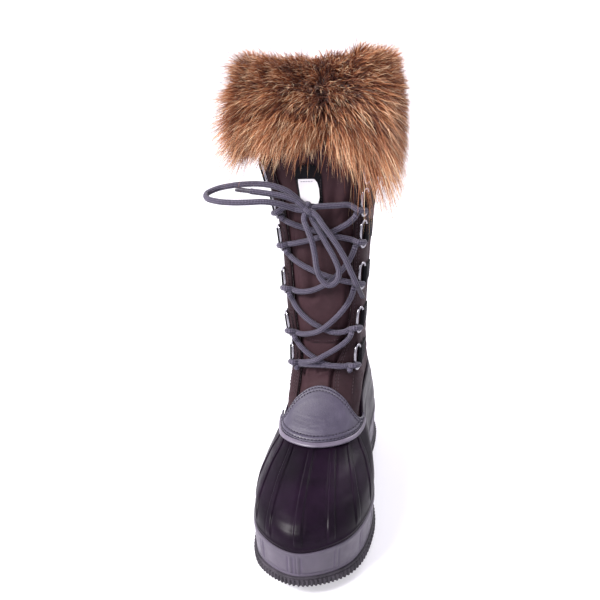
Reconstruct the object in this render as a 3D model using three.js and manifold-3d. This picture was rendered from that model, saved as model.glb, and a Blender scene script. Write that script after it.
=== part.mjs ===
// Right snow boot: rubber lower shell on a grey midsole cup and a lugged outsole, a laced textile
// shaft with its tongue, a leather vamp overlay and a fur cuff.
// Millimetres, +Z up, toe towards -Y, heel towards +Y, medial side towards +X.
// The outer face of the whole upper is one form, stated by the sections below.
// Every wall, overlay, strip and lace is placed by its level on that form and its offset from it.
import * as THREE from 'three';
import { mergeVertices } from 'three/addons/utils/BufferGeometryUtils.js';
import Module from 'manifold-3d';

const wasm = await Module();
wasm.setup();

// ---------------------------------------------------------------- driving dimensions
const AROUND = 40;              // facets round the boot
const GAP = 0.35;               // clearance between pieces that touch
const TOE_ROUND = 0.71;         // fullness of the toe corner, 0.71 is an ellipse
const HEEL_ROUND = 0.74;        // fullness of the heel corner

const RIM_WALL = 3.3;           // midsole cup wall round the shell
const SHELL_WALL = 3.0;         // rubber shell
const SHAFT_WALL = 2.6;         // shaft textile with its fleece lining
const TONGUE_WALL = 2.6;
const OVERLAY_WALL = 2.0;       // leather vamp overlay
const OVERLAY_FOOT = 1.2;       // lower edge of the overlay above the shell edge
const INSOLE_THICK = 4.0;
const INSOLE_CLEARANCE = 0.6;   // insole inside the shell, beyond the gap
const OVERLAY_COLUMNS = 15;
const OVERLAY_TURN = OVERLAY_COLUMNS / 2 / AROUND;
const OVERLAY_LIFT = 0.7;       // clearance of the overlay over the shell and the quarters
const RIM_PROUD = 0.6;          // rim beyond the overlay's face
const RIM_FOOT = -4.2;          // lower edge of the rim below the shell edge

const CUP_FLOOR_LEVEL = 0.5;    // level of the floor inside the midsole cup
const LEDGE = 1.02;             // level just above the top of the midsole cup
const SHELL_TOP_LEVEL = 4;      // collar line of the rubber shell
const SHAFT_FOOT_LEVEL = 3.5;   // lower edge of the shaft, tucked inside the shell
const SHAFT_TUCK = 0.6;         // gap between the shell and the shaft inside it
const TONGUE_BEHIND = 1.0;      // gap between the quarters and the tongue behind them
const TONGUE_TUCK_TURN = 0.022; // reach of the tongue behind the quarters, as a share of the turn
const HEM_LEVEL = 12;           // top edge of the shaft
const HEM_HEIGHT = 385;

const SOLE_FLANGE = 2.4;        // outsole edge beyond the midsole
const LUG_DEPTH = 5.0;
const LUG_BEND = 4;             // how far the middle of a row lies ahead of its ends
const LUG_MARGIN = 4.5;         // outsole edge left plain round the lugs
const LUG_SLOT = 3;             // gap between the lugs of a row
const CUP_FOOT = 12.5;          // underside of the midsole cup where the sole lies flat
const CUP_RISE = 0.8;           // share of the sole's rise that the cup follows
const TOE_SPRING = 9.0;
const TOE_SPRING_START = -88;   // the forefoot is flat from here back
const TOE_SPRING_END = -145;
const ARCH_RISE = 4;
const ARCH_FRONT = -18;
const ARCH_BACK = 74;

// The form is drawn about the middle of the sole. The object stands on the middle of its own box.
const ORIGIN_X = 1.1;
const ORIGIN_Y = -7.9;

const LACE_RADIUS = 2.5;
const LACE_SIDES = 8;
const RING_WIRE = 1.2;          // radius of the ring's wire
const RING_HALF_LENGTH = 11.6;
const RING_HALF_DEPTH = 5.5;
const RING_SIDES = 5;
const RING_LIFT = 3.2;          // centre of the ring above the form
const RING_SWING = 0.45;        // share by which a ring is swung from the shaft's face to straight ahead
const TAB_HALF_HEIGHT = 8;
const TAB_THICK = 1.9;
const TAB_LIFT = 0.8;
const TAB_START_TURN = 0.031;   // tab behind the ring's centre, as a share of the turn
const TAB_LENGTH_TURN = 0.045;
const LACING_DROP = 8;          // lacing point below a ring's centre
const LACING_TURN = 0.106;      // where the strands end, just inside the rings
const LACE_APART = 3;           // strands above and below a lacing point
const LACE_LIFT = 0.9;          // clearance of the strands over the tongue
const AGLET_RADIUS = 2.0;
const AGLET_LENGTH = 13;
const KNOT_CENTRE = new THREE.Vector3(-5, -10, 277);
const KNOT_RADII = new THREE.Vector3(8.5, 6.5, 7.5);
const KEEPER = { left: -0.04, right: 0.018, foot: 280, head: 314, lift: 0.5, thick: 1.2 };
const LABEL = { left: -0.034, right: 0.012, foot: 281, head: 302, lift: 2.1, thick: 0.6 };

// Sections of the outer form, from the feather edge up to the hem. The toe and back columns are the
// ends of the section on the centre line, ball, waist and heel its widest stations with the height
// there and the reach to the lateral (-X) and medial (+X) side. skew moves the ball station back on
// the medial side and forward on the lateral side.
const SECTION_COLUMNS = [
  'toeX', 'toeY', 'toeZ', 'ballY', 'ballZ', 'ballLat', 'ballMed', 'skew', 'waistY', 'waistZ',
  'waistLat', 'waistMed', 'heelY', 'heelZ', 'heelLat', 'heelMed', 'backY', 'backZ',
];
const SECTIONS = [
  // toe             ball                      waist                 heel                   back
  [2, -142, 19, -66, 12, -46.5, 51.5, 0, 18, 14, -39.5, 38, 106, 14, -36, 37, 140, 15],        // feather
  [2, -141, 39, -64, 36, -47.5, 53, 0, 18, 38, -41, 39.5, 106, 42, -37.5, 38, 141, 43],        // cup top
  [2, -133, 55, -50, 55, -47, 52, 0, 20, 58, -40, 40, 106, 62, -37.5, 37.5, 141.5, 63],        // toe box
  [2, -102, 68, -28, 67, -42, 45.5, 1, 22, 76, -38, 38.5, 104, 80, -36.5, 35.5, 138.5, 80],    // vamp
  [1, -53, 79, -17, 80, -34.5, 37.5, 3, 26, 93, -35, 35.5, 100, 95, -34.5, 33, 133.5, 96],     // collar
  [0, -4, 112, 8, 112, -30, 32, 2, 44, 113, -33.5, 34, 96, 114, -31.5, 31, 125.5, 115],        // ankle
  [1, 2, 140, 14, 140, -27.5, 31.5, 0, 50, 140, -31.5, 34, 95, 140, -30.5, 30.5, 121, 140],
  [2, 4, 175, 16, 175, -31.5, 34, 0, 54, 175, -34.5, 35.5, 96, 175, -31, 32, 122, 175],
  [2, 5, 215, 18, 215, -33, 36.5, 0, 56, 215, -36, 38.5, 98, 215, -33, 35, 126, 215],
  [1, 5, 250, 18, 250, -34.5, 38.5, 0, 58, 250, -38.5, 41.5, 100, 250, -36, 38.5, 129.5, 250],
  [0, 3, 285, 16, 285, -39, 41, 0, 60, 285, -43.5, 45.5, 102, 285, -40, 41.5, 132.5, 285],
  [-1, 0, 320, 14, 320, -47.5, 45.5, 0, 60, 320, -51, 50, 104, 320, -45, 45, 136, 320],
  [-3, -4, 385, 12, 385, -53, 50, 0, 60, 385, -57, 55, 106, 385, -50, 49, 140, 385],           // hem
];

// Lace rings from the bottom pair up: height of the ring's centre on each side.
const RING_COLUMNS = ['lateral', 'medial'];
const RING_ROWS = [
  [137, 137],
  [168, 173],
  [209, 214],
  [249, 252],
  [279, 280],
  [308, 308],
];
const RING_TURN = 0.15;         // place of the rings round the boot, as a share of the turn
const THROAT_FOOT_MEDIAL = 1.5 / AROUND;
const THROAT_FOOT_LATERAL = 3.5 / AROUND;
const THROAT_HEAD = 0.107;

// ---------------------------------------------------------------- the form
const ROW = SECTIONS.map((values) => Object.fromEntries(SECTION_COLUMNS.map((name, i) => [name, values[i]])));

function smooth(from, to, value) {
  const t = Math.min(1, Math.max(0, (value - from) / (to - from)));
  return t * t * (3 - 2 * t);
}

// One column of the sections at a level between two of them.
function columnAt(name, level) {
  const last = ROW.length - 1;
  const i = Math.min(last - 1, Math.max(0, Math.floor(level)));
  const t = level - i;
  const [a, b, c, d] = [i - 1, i, i + 1, i + 2].map((k) => ROW[Math.min(last, Math.max(0, k))][name]);
  const in1 = (c - a) / 2;
  const out1 = (d - b) / 2;
  return b + in1 * t + (3 * (c - b) - 2 * in1 - out1) * t * t + (2 * (b - c) + in1 + out1) * t * t * t;
}

// The closed outline of the form at one level, starting at the toe and going round by the medial side.
const outlineCache = new Map();
function outlineAt(level) {
  const known = outlineCache.get(level);
  if (known) return known;
  const s = Object.fromEntries(SECTION_COLUMNS.map((name) => [name, columnAt(name, level)]));
  const side = (ball, waist, heel, skew) => {
    const ballY = s.ballY + skew;
    const toeCorner = new THREE.Vector3(
      s.toeX + TOE_ROUND * (ball - s.toeX),
      ballY + TOE_ROUND * (s.toeY - ballY),
      s.ballZ + TOE_ROUND * (s.toeZ - s.ballZ),
    );
    const heelCorner = new THREE.Vector3(
      HEEL_ROUND * heel,
      s.heelY + HEEL_ROUND * (s.backY - s.heelY),
      s.heelZ + HEEL_ROUND * (s.backZ - s.heelZ),
    );
    return [
      toeCorner,
      new THREE.Vector3(ball, ballY, s.ballZ),
      new THREE.Vector3(waist, s.waistY, s.waistZ),
      new THREE.Vector3(heel, s.heelY, s.heelZ),
      heelCorner,
    ];
  };
  const points = [
    new THREE.Vector3(s.toeX, s.toeY, s.toeZ),
    ...side(s.ballMed, s.waistMed, s.heelMed, s.skew),
    new THREE.Vector3(0, s.backY, s.backZ),
    ...side(s.ballLat, s.waistLat, s.heelLat, -s.skew).reverse(),
  ];
  const curve = new THREE.CatmullRomCurve3(points, true, 'centripetal');
  outlineCache.set(level, curve);
  return curve;
}

function formPoint(turn, level) {
  const wrapped = turn - Math.floor(turn);
  return outlineAt(level).getPoint(wrapped);
}

// A point on the form with its outward normal, the direction round the boot and the direction up it.
function formFrame(turn, level) {
  const d = 0.004;
  const low = Math.max(0, level - 0.02);
  const high = Math.min(HEM_LEVEL, level + 0.02);
  const round = formPoint(turn + d, level).sub(formPoint(turn - d, level)).normalize();
  const up = formPoint(turn, high).sub(formPoint(turn, low)).normalize();
  const normal = new THREE.Vector3().crossVectors(round, up).normalize();
  return { point: formPoint(turn, level), normal, round, up };
}

function onForm(turn, level, offset) {
  const frame = formFrame(turn, level);
  return frame.point.addScaledVector(frame.normal, offset);
}

// The level that lies a distance up (or, if negative, down) the form from another level.
function levelFrom(turn, level, distance) {
  const step = 0.02 * Math.sign(distance);
  let left = Math.abs(distance);
  let here = formPoint(turn, level);
  let at = level;
  while (left > 0 && at + step > 0 && at + step < HEM_LEVEL) {
    const next = formPoint(turn, at + step);
    const length = next.distanceTo(here);
    at += step * Math.min(1, left / length);
    left -= length;
    here = next;
  }
  return at;
}

function levelAtHeight(height) {
  let low = 4;
  let high = HEM_LEVEL;
  for (let i = 0; i < 30; i += 1) {
    const middle = (low + high) / 2;
    if (columnAt('waistZ', middle) < height) low = middle;
    else high = middle;
  }
  return (low + high) / 2;
}

// Height gained per level near a level of the shaft.
function heightPerLevel(level) {
  return (columnAt('waistZ', level + 0.1) - columnAt('waistZ', level - 0.1)) / 0.2;
}

// ---------------------------------------------------------------- solids
// A closed solid through loops of points. The loops join into a ring, or else both ends are capped by
// a strip between the loop's two halves.
function loft(loops, ring = false) {
  const count = loops[0].length;
  const positions = loops.flat().flatMap((p) => [p.x, p.y, p.z]);
  const index = [];
  const quad = (a, b, c, d) => index.push(a, b, c, a, c, d);
  const joins = ring ? loops.length : loops.length - 1;
  for (let i = 0; i < joins; i += 1) {
    const here = i * count;
    const next = ((i + 1) % loops.length) * count;
    for (let j = 0; j < count; j += 1) {
      const k = (j + 1) % count;
      quad(here + j, here + k, next + k, next + j);
    }
  }
  if (!ring) {
    const last = (loops.length - 1) * count;
    for (let j = 0; j < count / 2 - 1; j += 1) {
      quad(count - 1 - j, count - 2 - j, j + 1, j);
      quad(last + j, last + j + 1, last + count - 2 - j, last + count - 1 - j);
    }
  }
  return outward(positions, index);
}

// Turns the faces outward where the enclosed volume comes out negative.
function outward(positions, index) {
  const corner = (i) => new THREE.Vector3().fromArray(positions, 3 * i);
  let volume = 0;
  for (let i = 0; i < index.length; i += 3) {
    const [a, b, c] = [corner(index[i]), corner(index[i + 1]), corner(index[i + 2])];
    volume += a.dot(b.cross(c));
  }
  if (volume < 0) index.reverse();
  const geometry = new THREE.BufferGeometry();
  geometry.setAttribute('position', new THREE.Float32BufferAttribute(positions, 3));
  geometry.setIndex(index);
  return geometry;
}

// A closed band round the boot, given by (level, offset) corners that may change with the turn.
function band(corners) {
  const turns = Array.from({ length: AROUND }, (_, i) => (i + 0.5) / AROUND);
  return loft(turns.map((turn) => corners(turn).map(([level, offset]) => onForm(turn, level, offset))), true);
}

// A patch of wall between two side edges, which are turns that may change with the level, through rows
// of levels that may change with the turn. inner and outer are the offsets of its faces.
function patch({ columns, left, right, rows, inner, outer }) {
  const loops = [];
  for (let i = 0; i <= columns; i += 1) {
    const across = i / columns;
    const footTurn = THREE.MathUtils.lerp(left(SHELL_TOP_LEVEL), right(SHELL_TOP_LEVEL), across);
    const side = (offset) => rows(footTurn).map((level) => {
      const turn = THREE.MathUtils.lerp(left(level), right(level), across);
      return onForm(turn, level, offset(turn, level));
    });
    loops.push([...side(outer), ...side(inner).reverse()]);
  }
  return loft(loops);
}

// A round tube through points, or a closed round ring.
function tube(points, radius, sides, ring = false) {
  const curve = new THREE.CatmullRomCurve3(points, ring, 'centripetal');
  const steps = ring ? points.length : points.length - 1;
  const frames = curve.computeFrenetFrames(steps, ring);
  const stations = ring ? steps : steps + 1;
  const loops = Array.from({ length: stations }, (_, i) => {
    const centre = curve.getPointAt(i / steps);
    return Array.from({ length: sides }, (_unused, j) => {
      const angle = (2 * Math.PI * j) / sides;
      return centre.clone()
        .addScaledVector(frames.normals[i], radius * Math.cos(angle))
        .addScaledVector(frames.binormals[i], radius * Math.sin(angle));
    });
  });
  return loft(loops, ring);
}

function toManifold(geometry) {
  const plain = geometry.clone();
  plain.deleteAttribute('normal');
  plain.deleteAttribute('uv');
  const merged = mergeVertices(plain, 1e-4);
  return new wasm.Manifold(new wasm.Mesh({
    numProp: 3,
    vertProperties: new Float32Array(merged.attributes.position.array),
    triVerts: new Uint32Array(merged.index.array),
  }));
}

function fromManifold(solid) {
  const mesh = solid.getMesh();
  const geometry = new THREE.BufferGeometry();
  geometry.setAttribute('position', new THREE.Float32BufferAttribute(mesh.vertProperties, 3));
  geometry.setIndex(Array.from(mesh.triVerts));
  return geometry;
}

function join(geometries) {
  return fromManifold(geometries.map(toManifold).reduce((whole, piece) => whole.add(piece)));
}

// ---------------------------------------------------------------- sole
function soleRise(y) {
  const spring = Math.max(0, (TOE_SPRING_START - y) / (TOE_SPRING_START - TOE_SPRING_END));
  const arch = smooth(ARCH_FRONT, ARCH_FRONT + 30, y) * (1 - smooth(ARCH_BACK - 30, ARCH_BACK, y));
  return TOE_SPRING * spring ** 1.8 + ARCH_RISE * arch;
}

function soleLoop(offset, height) {
  return Array.from({ length: AROUND }, (_, i) => {
    const p = onForm((i + 0.5) / AROUND, 0, 0);
    const flat = formFrame((i + 0.5) / AROUND, 0).normal.setZ(0).normalize();
    p.addScaledVector(flat, offset);
    p.z = height(p);
    return p;
  });
}

// How far the sole reaches to one side at a station along it.
function soleReach(y, side) {
  const edge = soleLoop(0, () => 0).filter((p) => Math.sign(p.x) === side);
  edge.sort((a, b) => a.y - b.y);
  const k = Math.max(1, edge.findIndex((p) => p.y >= y));
  const [a, b] = [edge[k - 1], edge[k]];
  return Math.abs(a.x + ((b.x - a.x) * (y - a.y)) / (b.y - a.y));
}

// Rows of lugs along the sole: the first and last station of a group and its count of rows.
const LUG_GROUPS = [
  { from: -128, to: -30, rows: 7, length: 10 },
  { from: -14, to: 60, rows: 4, length: 9 },
  { from: 82, to: 126, rows: 4, length: 10 },
];

function lugBlock(left, right, y, length, slope) {
  const corner = (x, dy, top) => {
    const station = y + dy + slope * Math.abs(x);
    const bottom = soleRise(station);
    return new THREE.Vector3(x, station, top ? bottom + LUG_DEPTH + 1 : bottom);
  };
  const loop = (top, inset) => [
    corner(left + inset, -length / 2 + inset, top),
    corner(right - inset, -length / 2 + inset, top),
    corner(right - inset, length / 2 - inset, top),
    corner(left + inset, length / 2 - inset, top),
  ];
  return loft([loop(false, 0.8), loop(true, 0)]);
}

function lugRow(y, length) {
  const lateral = -(soleReach(y, -1) - LUG_MARGIN);
  const medial = soleReach(y, 1) - LUG_MARGIN;
  const third = (medial - lateral) / 3;
  const slope = LUG_BEND / 50;
  const cuts = [lateral, lateral + third, medial - third, medial];
  return [0, 1, 2].map((i) => {
    const left = cuts[i] + (i > 0 ? LUG_SLOT / 2 : 0);
    const right = cuts[i + 1] - (i < 2 ? LUG_SLOT / 2 : 0);
    return lugBlock(left, right, y, length, slope);
  });
}

function makeOutsole() {
  const slab = loft([
    soleLoop(SOLE_FLANGE - 1.2, (p) => soleRise(p.y) + LUG_DEPTH),
    soleLoop(SOLE_FLANGE, (p) => soleRise(p.y) + LUG_DEPTH + 1.5),
    soleLoop(SOLE_FLANGE, (p) => cupFoot(p.y) - GAP),
  ]);
  const lugs = LUG_GROUPS.flatMap(({ from, to, rows, length }) => (
    Array.from({ length: rows }, (_, i) => lugRow(from + ((to - from) * i) / (rows - 1), length)).flat()));
  return join([slab, ...lugs]);
}

// Height of the underside of the midsole cup along the boot.
function cupFoot(y) {
  return CUP_FOOT + CUP_RISE * soleRise(y);
}

function makeMidsole() {
  const ring = (level, offset) => Array.from({ length: AROUND }, (_, i) => (
    onForm((i + 0.5) / AROUND, level, offset)));
  return loft([
    ring(CUP_FLOOR_LEVEL, -RIM_WALL),
    ring(1, -RIM_WALL),
    ring(1, 0),
    ring(0.5, 0.3),
    soleLoop(0, (p) => cupFoot(p.y)),
  ]);
}

function makeInsole() {
  const inset = -(RIM_WALL + SHELL_WALL + 2 * GAP + INSOLE_CLEARANCE);
  const ring = (lift) => Array.from({ length: AROUND }, (_, i) => (
    onForm((i + 0.5) / AROUND, CUP_FLOOR_LEVEL, inset).add(new THREE.Vector3(0, 0, lift))));
  return loft([ring(GAP), ring(GAP + INSOLE_THICK)]);
}

// ---------------------------------------------------------------- upper
function makeShell() {
  const tucked = -(RIM_WALL + GAP);
  const top = SHELL_TOP_LEVEL;
  return band(() => [
    [CUP_FLOOR_LEVEL + 0.02, tucked],
    [LEDGE, tucked],
    [LEDGE, 0],
    [1.4, 0],
    [2, 0],
    [2.5, 0],
    [3, 0],
    [3.5, 0],
    [3.8, 0],
    [top, 0],
    [top, -SHELL_WALL],
    [3.8, -SHELL_WALL],
    [3.5, -SHELL_WALL],
    [3, -SHELL_WALL],
    [2.5, -SHELL_WALL],
    [2, -SHELL_WALL],
    [1.4, -SHELL_WALL],
    [LEDGE, tucked - SHELL_WALL],
    [CUP_FLOOR_LEVEL + 0.02, tucked - SHELL_WALL],
  ]);
}

// Half width of the throat between the quarters on one side. The medial quarter reaches forward in a
// lobe at its foot.
function throatTurn(level, side) {
  if (side > 0) return THROAT_FOOT_MEDIAL + (THROAT_HEAD - THROAT_FOOT_MEDIAL) * smooth(5.1, 7.6, level);
  return THROAT_FOOT_LATERAL + (THROAT_HEAD - THROAT_FOOT_LATERAL) * smooth(5, 8, level);
}

// The shaft lies inside the shell at its foot and comes out to the form above it.
function shaftOuter(level) {
  return -(SHELL_WALL + SHAFT_TUCK) * (1 - smooth(4.1, 4.6, level));
}

function makeShaft() {
  return patch({
    columns: AROUND - 5,
    left: (level) => throatTurn(level, 1),
    right: (level) => 1 - throatTurn(level, -1),
    rows: () => [SHAFT_FOOT_LEVEL, 3.8, 4, 4.1, 4.3, 4.6, 5, 5.4, 6, 7, 8, 9, 10, 11, HEM_LEVEL],
    outer: (turn, level) => shaftOuter(level),
    inner: (turn, level) => shaftOuter(level) - SHAFT_WALL,
  });
}

// The tongue bulges out to the form in its middle and runs behind the quarters at its sides.
function tongueOuter(turn, level) {
  const edge = throatTurn(level, Math.sign(turn));
  const behind = -(SHAFT_WALL + TONGUE_BEHIND);
  const share = smooth(edge * 0.55, edge * 0.97, Math.abs(turn));
  return shaftOuter(level) + behind * share;
}

function makeTongue() {
  const half = (level, side) => throatTurn(level, side) + TONGUE_TUCK_TURN;
  return patch({
    columns: 14,
    left: (level) => -half(level, -1),
    right: (level) => half(level, 1),
    rows: () => [4.12, 4.35, 4.6, 5, 5.4, 6, 7, 8, 9, 10, 11, 11.75],
    outer: tongueOuter,
    inner: (turn, level) => tongueOuter(turn, level) - TONGUE_WALL,
  });
}

// Upper edge of the overlay: a peak on the centre line that falls to a corner on each side.
function overlayTop(turn) {
  const share = Math.abs(turn) / OVERLAY_TURN;
  return 4.16 + 0.84 * (0.5 + 0.5 * Math.cos(Math.PI * Math.min(1, share))) ** 0.9;
}

function makeOverlay() {
  return patch({
    columns: OVERLAY_COLUMNS,
    left: () => -OVERLAY_TURN,
    right: () => OVERLAY_TURN,
    rows: (turn) => {
      const foot = levelFrom(turn, SHELL_TOP_LEVEL, OVERLAY_FOOT);
      return [0, 0.25, 0.5, 0.75, 1].map((share) => THREE.MathUtils.lerp(foot, overlayTop(turn), share));
    },
    outer: () => OVERLAY_LIFT + OVERLAY_WALL,
    inner: () => OVERLAY_LIFT,
  });
}

function makeRim() {
  return patch({
    columns: OVERLAY_COLUMNS,
    left: () => -OVERLAY_TURN,
    right: () => OVERLAY_TURN,
    rows: (turn) => [RIM_FOOT, OVERLAY_FOOT - GAP].map((reach) => levelFrom(turn, SHELL_TOP_LEVEL, reach)),
    outer: () => OVERLAY_LIFT + OVERLAY_WALL + RIM_PROUD,
    inner: () => OVERLAY_LIFT,
  });
}

// ---------------------------------------------------------------- fur cuff
// Outer reach of the fur round the boot, and the height of its lower edge.
function furReach(turn) {
  return 18 + 3 * Math.cos(4 * Math.PI * turn);
}

function furPoint(turn, height, offset) {
  const level = Math.min(HEM_LEVEL, levelAtHeight(height));
  const p = onForm(turn, level, offset);
  p.z = height;
  return p;
}

function makeFurCuff() {
  const corners = (turn) => {
    const reach = furReach(turn);
    const foot = 327 + 5 * Math.cos(2 * Math.PI * turn);
    return [
      [foot + 4, 0.9],
      [foot, 0.35 * reach],
      [foot + 14, 0.8 * reach],
      [364, reach],
      [385, 0.86 * reach],
      [398, 0.45 * reach],
      [403, 1],
      [399, -7],
      [389, -9],
      [HEM_HEIGHT + 2, -4],
      [HEM_HEIGHT + 2, 0.9],
    ];
  };
  const turns = Array.from({ length: AROUND }, (_, i) => (i + 0.5) / AROUND);
  const loops = turns.map((turn) => corners(turn).map(([height, offset]) => furPoint(turn, height, offset)));
  return loft(loops, true);
}

// ---------------------------------------------------------------- lace rings
// A ring lies along the side of the shaft with its free side turned forward.
function ringFrame(side, height) {
  const frame = formFrame(side * RING_TURN, levelAtHeight(height));
  const forward = frame.round.clone().multiplyScalar(-side);
  forward.lerp(new THREE.Vector3(0, -1, 0), RING_SWING);
  forward.addScaledVector(frame.up, -forward.dot(frame.up)).normalize();
  const face = new THREE.Vector3().crossVectors(forward, frame.up).multiplyScalar(side).normalize();
  return { ...frame, forward, face };
}

function makeRing(side, height) {
  const { point, face, normal, up, forward } = ringFrame(side, height);
  const centre = point.addScaledVector(normal, RING_LIFT);
  const count = 12;
  const squarish = (value) => Math.sign(value) * Math.abs(value) ** 0.65;
  const loops = Array.from({ length: count }, (_, i) => {
    const angle = (2 * Math.PI * i) / count;
    const along = forward.clone().multiplyScalar(RING_HALF_DEPTH * squarish(Math.cos(angle)))
      .addScaledVector(up, RING_HALF_LENGTH * squarish(Math.sin(angle)));
    const out = forward.clone().multiplyScalar(Math.cos(angle)).addScaledVector(up, Math.sin(angle));
    return Array.from({ length: RING_SIDES }, (_unused, j) => {
      const turn = (2 * Math.PI * j) / RING_SIDES;
      return centre.clone()
        .add(along)
        .addScaledVector(out, RING_WIRE * Math.cos(turn))
        .addScaledVector(face, RING_WIRE * Math.sin(turn));
    });
  });
  return loft(loops, true);
}

// The webbing tab that holds a ring, laid on the quarter behind it.
function makeTab(side, height) {
  const level = levelAtHeight(height);
  const half = TAB_HALF_HEIGHT / heightPerLevel(level);
  const start = RING_TURN + TAB_START_TURN;
  const loops = [0, 0.5, 1].map((share) => {
    const turn = side * (start + TAB_LENGTH_TURN * share);
    return [[-1, 0], [1, 0], [1, 1], [-1, 1]].map(([end, out]) => (
      onForm(turn, level + end * half, TAB_LIFT + out * TAB_THICK)));
  });
  return loft(loops);
}

// ---------------------------------------------------------------- lace
// A strand runs across the tongue from one ring to another. It leaves a ring above or below the ring's
// lacing point, on the side that the other ring lies, and sags by a share of the strand.
function strandPoints({ fromSide, fromRow, toSide, toRow, sag }) {
  const heightOf = (side, row) => RING_ROWS[row - 1][side < 0 ? 0 : 1] - LACING_DROP;
  const fromZ = heightOf(fromSide, fromRow);
  const toZ = heightOf(toSide, toRow);
  const apart = LACE_APART * Math.sign(toZ - fromZ);
  const steps = 8;
  return Array.from({ length: steps + 1 }, (_, i) => {
    const share = i / steps;
    const turn = LACING_TURN * THREE.MathUtils.lerp(fromSide, toSide, share);
    const height = THREE.MathUtils.lerp(fromZ + apart, toZ - apart, share) - sag * 4 * share * (1 - share);
    return onForm(turn, levelAtHeight(height), LACE_RADIUS + LACE_LIFT);
  });
}

const STRAND_COLUMNS = ['fromSide', 'fromRow', 'toSide', 'toRow', 'sag'];
// Strands of each crossing, which are joined there: side -1 is lateral, 1 medial, rows count upward.
const CROSSINGS = [
  [[-1, 1, 1, 1, -3], [-1, 1, 1, 2, 7], [-1, 2, 1, 1, 10]],
  [[-1, 2, 1, 3, 16], [-1, 3, 1, 2, 16]],
  [[-1, 3, 1, 4, 16], [-1, 4, 1, 3, 5]],
  [[-1, 4, 1, 5, 5], [-1, 5, 1, 4, 1]],
];

function makeCrossing(strands) {
  const named = strands.map((row) => Object.fromEntries(STRAND_COLUMNS.map((name, i) => [name, row[i]])));
  return join(named.map((strand) => tube(strandPoints(strand), LACE_RADIUS, LACE_SIDES)));
}

// The last strand on each side, from the fifth ring to the knot.
function makeTopStrand(side) {
  const height = RING_ROWS[4][side < 0 ? 0 : 1] - LACING_DROP + 2 * LACE_APART;
  const start = onForm(side * LACING_TURN, levelAtHeight(height), LACE_RADIUS + LACE_LIFT);
  const middle = onForm(side * LACING_TURN * 0.6, levelAtHeight(height + 1), LACE_RADIUS + LACE_LIFT + 1);
  const end = KNOT_CENTRE.clone().add(new THREE.Vector3(side * (KNOT_RADII.x + 0.8), 3.5, 1 + side));
  return tube([start, middle, end], LACE_RADIUS, LACE_SIDES);
}

function makeKnot() {
  const knot = new THREE.SphereGeometry(1, 12, 8);
  knot.scale(KNOT_RADII.x, KNOT_RADII.y, KNOT_RADII.z);
  knot.translate(KNOT_CENTRE.x, KNOT_CENTRE.y, KNOT_CENTRE.z);
  return fromManifold(toManifold(knot));
}

// Routes of the bow's loops and ends, from the knot out.
const LOOP_LEFT = [
  [-13, -5, 285], [-21, -6, 292], [-33, -6, 297], [-46, -5, 299], [-59, -4, 299], [-72, -4, 298],
  [-84, -6, 296], [-91, -13, 293], [-88, -22, 290], [-77, -27, 288], [-64, -28, 287], [-50, -28, 287],
  [-37, -26, 287], [-25, -21, 284], [-15, -14, 279],
];
const LOOP_DOWN = [
  [-7, -13, 268], [-4, -15, 261], [-1, -15, 252], [1, -14, 240], [2, -13, 228], [5, -12, 218],
  [12, -12, 212], [19, -12, 216], [21, -12, 225], [17, -12, 237], [11, -11, 248], [5, -10, 259],
  [0, -9, 267],
];
const END_LEFT = [[-13, -15, 286], [-22, -18, 290], [-36, -20, 293], [-50, -20, 295]];
const END_RIGHT = [
  [5, -13, 271], [10, -15, 264], [17, -15, 254], [25, -14, 240], [31, -12, 225], [36, -8, 211],
];

function makeCord(route) {
  return tube(route.map((p) => new THREE.Vector3(...p)), LACE_RADIUS, LACE_SIDES);
}

// The stiff tip at a cord's end.
function makeAglet(route) {
  const [before, end] = route.slice(-2).map((p) => new THREE.Vector3(...p));
  const along = end.clone().sub(before).normalize();
  const start = end.clone().addScaledVector(along, GAP);
  return tube([start, start.clone().addScaledVector(along, AGLET_LENGTH)], AGLET_RADIUS, LACE_SIDES);
}

// ---------------------------------------------------------------- tongue keeper and label
function makeTonguePatch({ left, right, foot, head, lift, thick }) {
  return patch({
    columns: 4,
    left: () => left,
    right: () => right,
    rows: () => [foot, (foot + head) / 2, head].map(levelAtHeight),
    outer: () => lift + thick,
    inner: () => lift,
  });
}

// ---------------------------------------------------------------- assembly
const boot = new THREE.Group();
boot.position.set(ORIGIN_X, ORIGIN_Y, 0);

function addPart(name, geometry, color, roughness, metalness = 0) {
  const material = new THREE.MeshStandardMaterial({ color, roughness, metalness });
  const mesh = new THREE.Mesh(geometry, material);
  mesh.name = name;
  boot.add(mesh);
}

const WEBBING = [0x101014, 0.8];
const LACE = [0x5f5573, 0.8];
addPart('outsole', makeOutsole(), 0x17141a, 0.8);
addPart('midsole', makeMidsole(), 0x7d7088, 0.6);
addPart('insole', makeInsole(), 0x3c3436, 0.95);
addPart('rubber_shell', makeShell(), 0x231528, 0.35);
addPart('vamp_overlay', makeOverlay(), 0x5c5270, 0.5);
addPart('vamp_rim', makeRim(), 0x8f8299, 0.55);
addPart('shaft', makeShaft(), 0x3c232c, 0.85);
addPart('tongue', makeTongue(), 0x40262c, 0.85);
addPart('tongue_keeper', makeTonguePatch(KEEPER), ...WEBBING);
addPart('tongue_label', makeTonguePatch(LABEL), 0xe8e6ea, 0.7);
addPart('fur_cuff', makeFurCuff(), 0x8a4a2a, 1);
RING_ROWS.forEach((heights, row) => {
  RING_COLUMNS.forEach((name, i) => {
    const side = i === 0 ? -1 : 1;
    addPart(`lace_ring_${name}_${row + 1}`, makeRing(side, heights[i]), 0xb9bcc4, 0.25, 1);
    addPart(`ring_tab_${name}_${row + 1}`, makeTab(side, heights[i]), ...WEBBING);
  });
});
CROSSINGS.forEach((strands, i) => addPart(`lace_crossing_${i + 1}`, makeCrossing(strands), ...LACE));
addPart('lace_top_lateral', makeTopStrand(-1), ...LACE);
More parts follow.
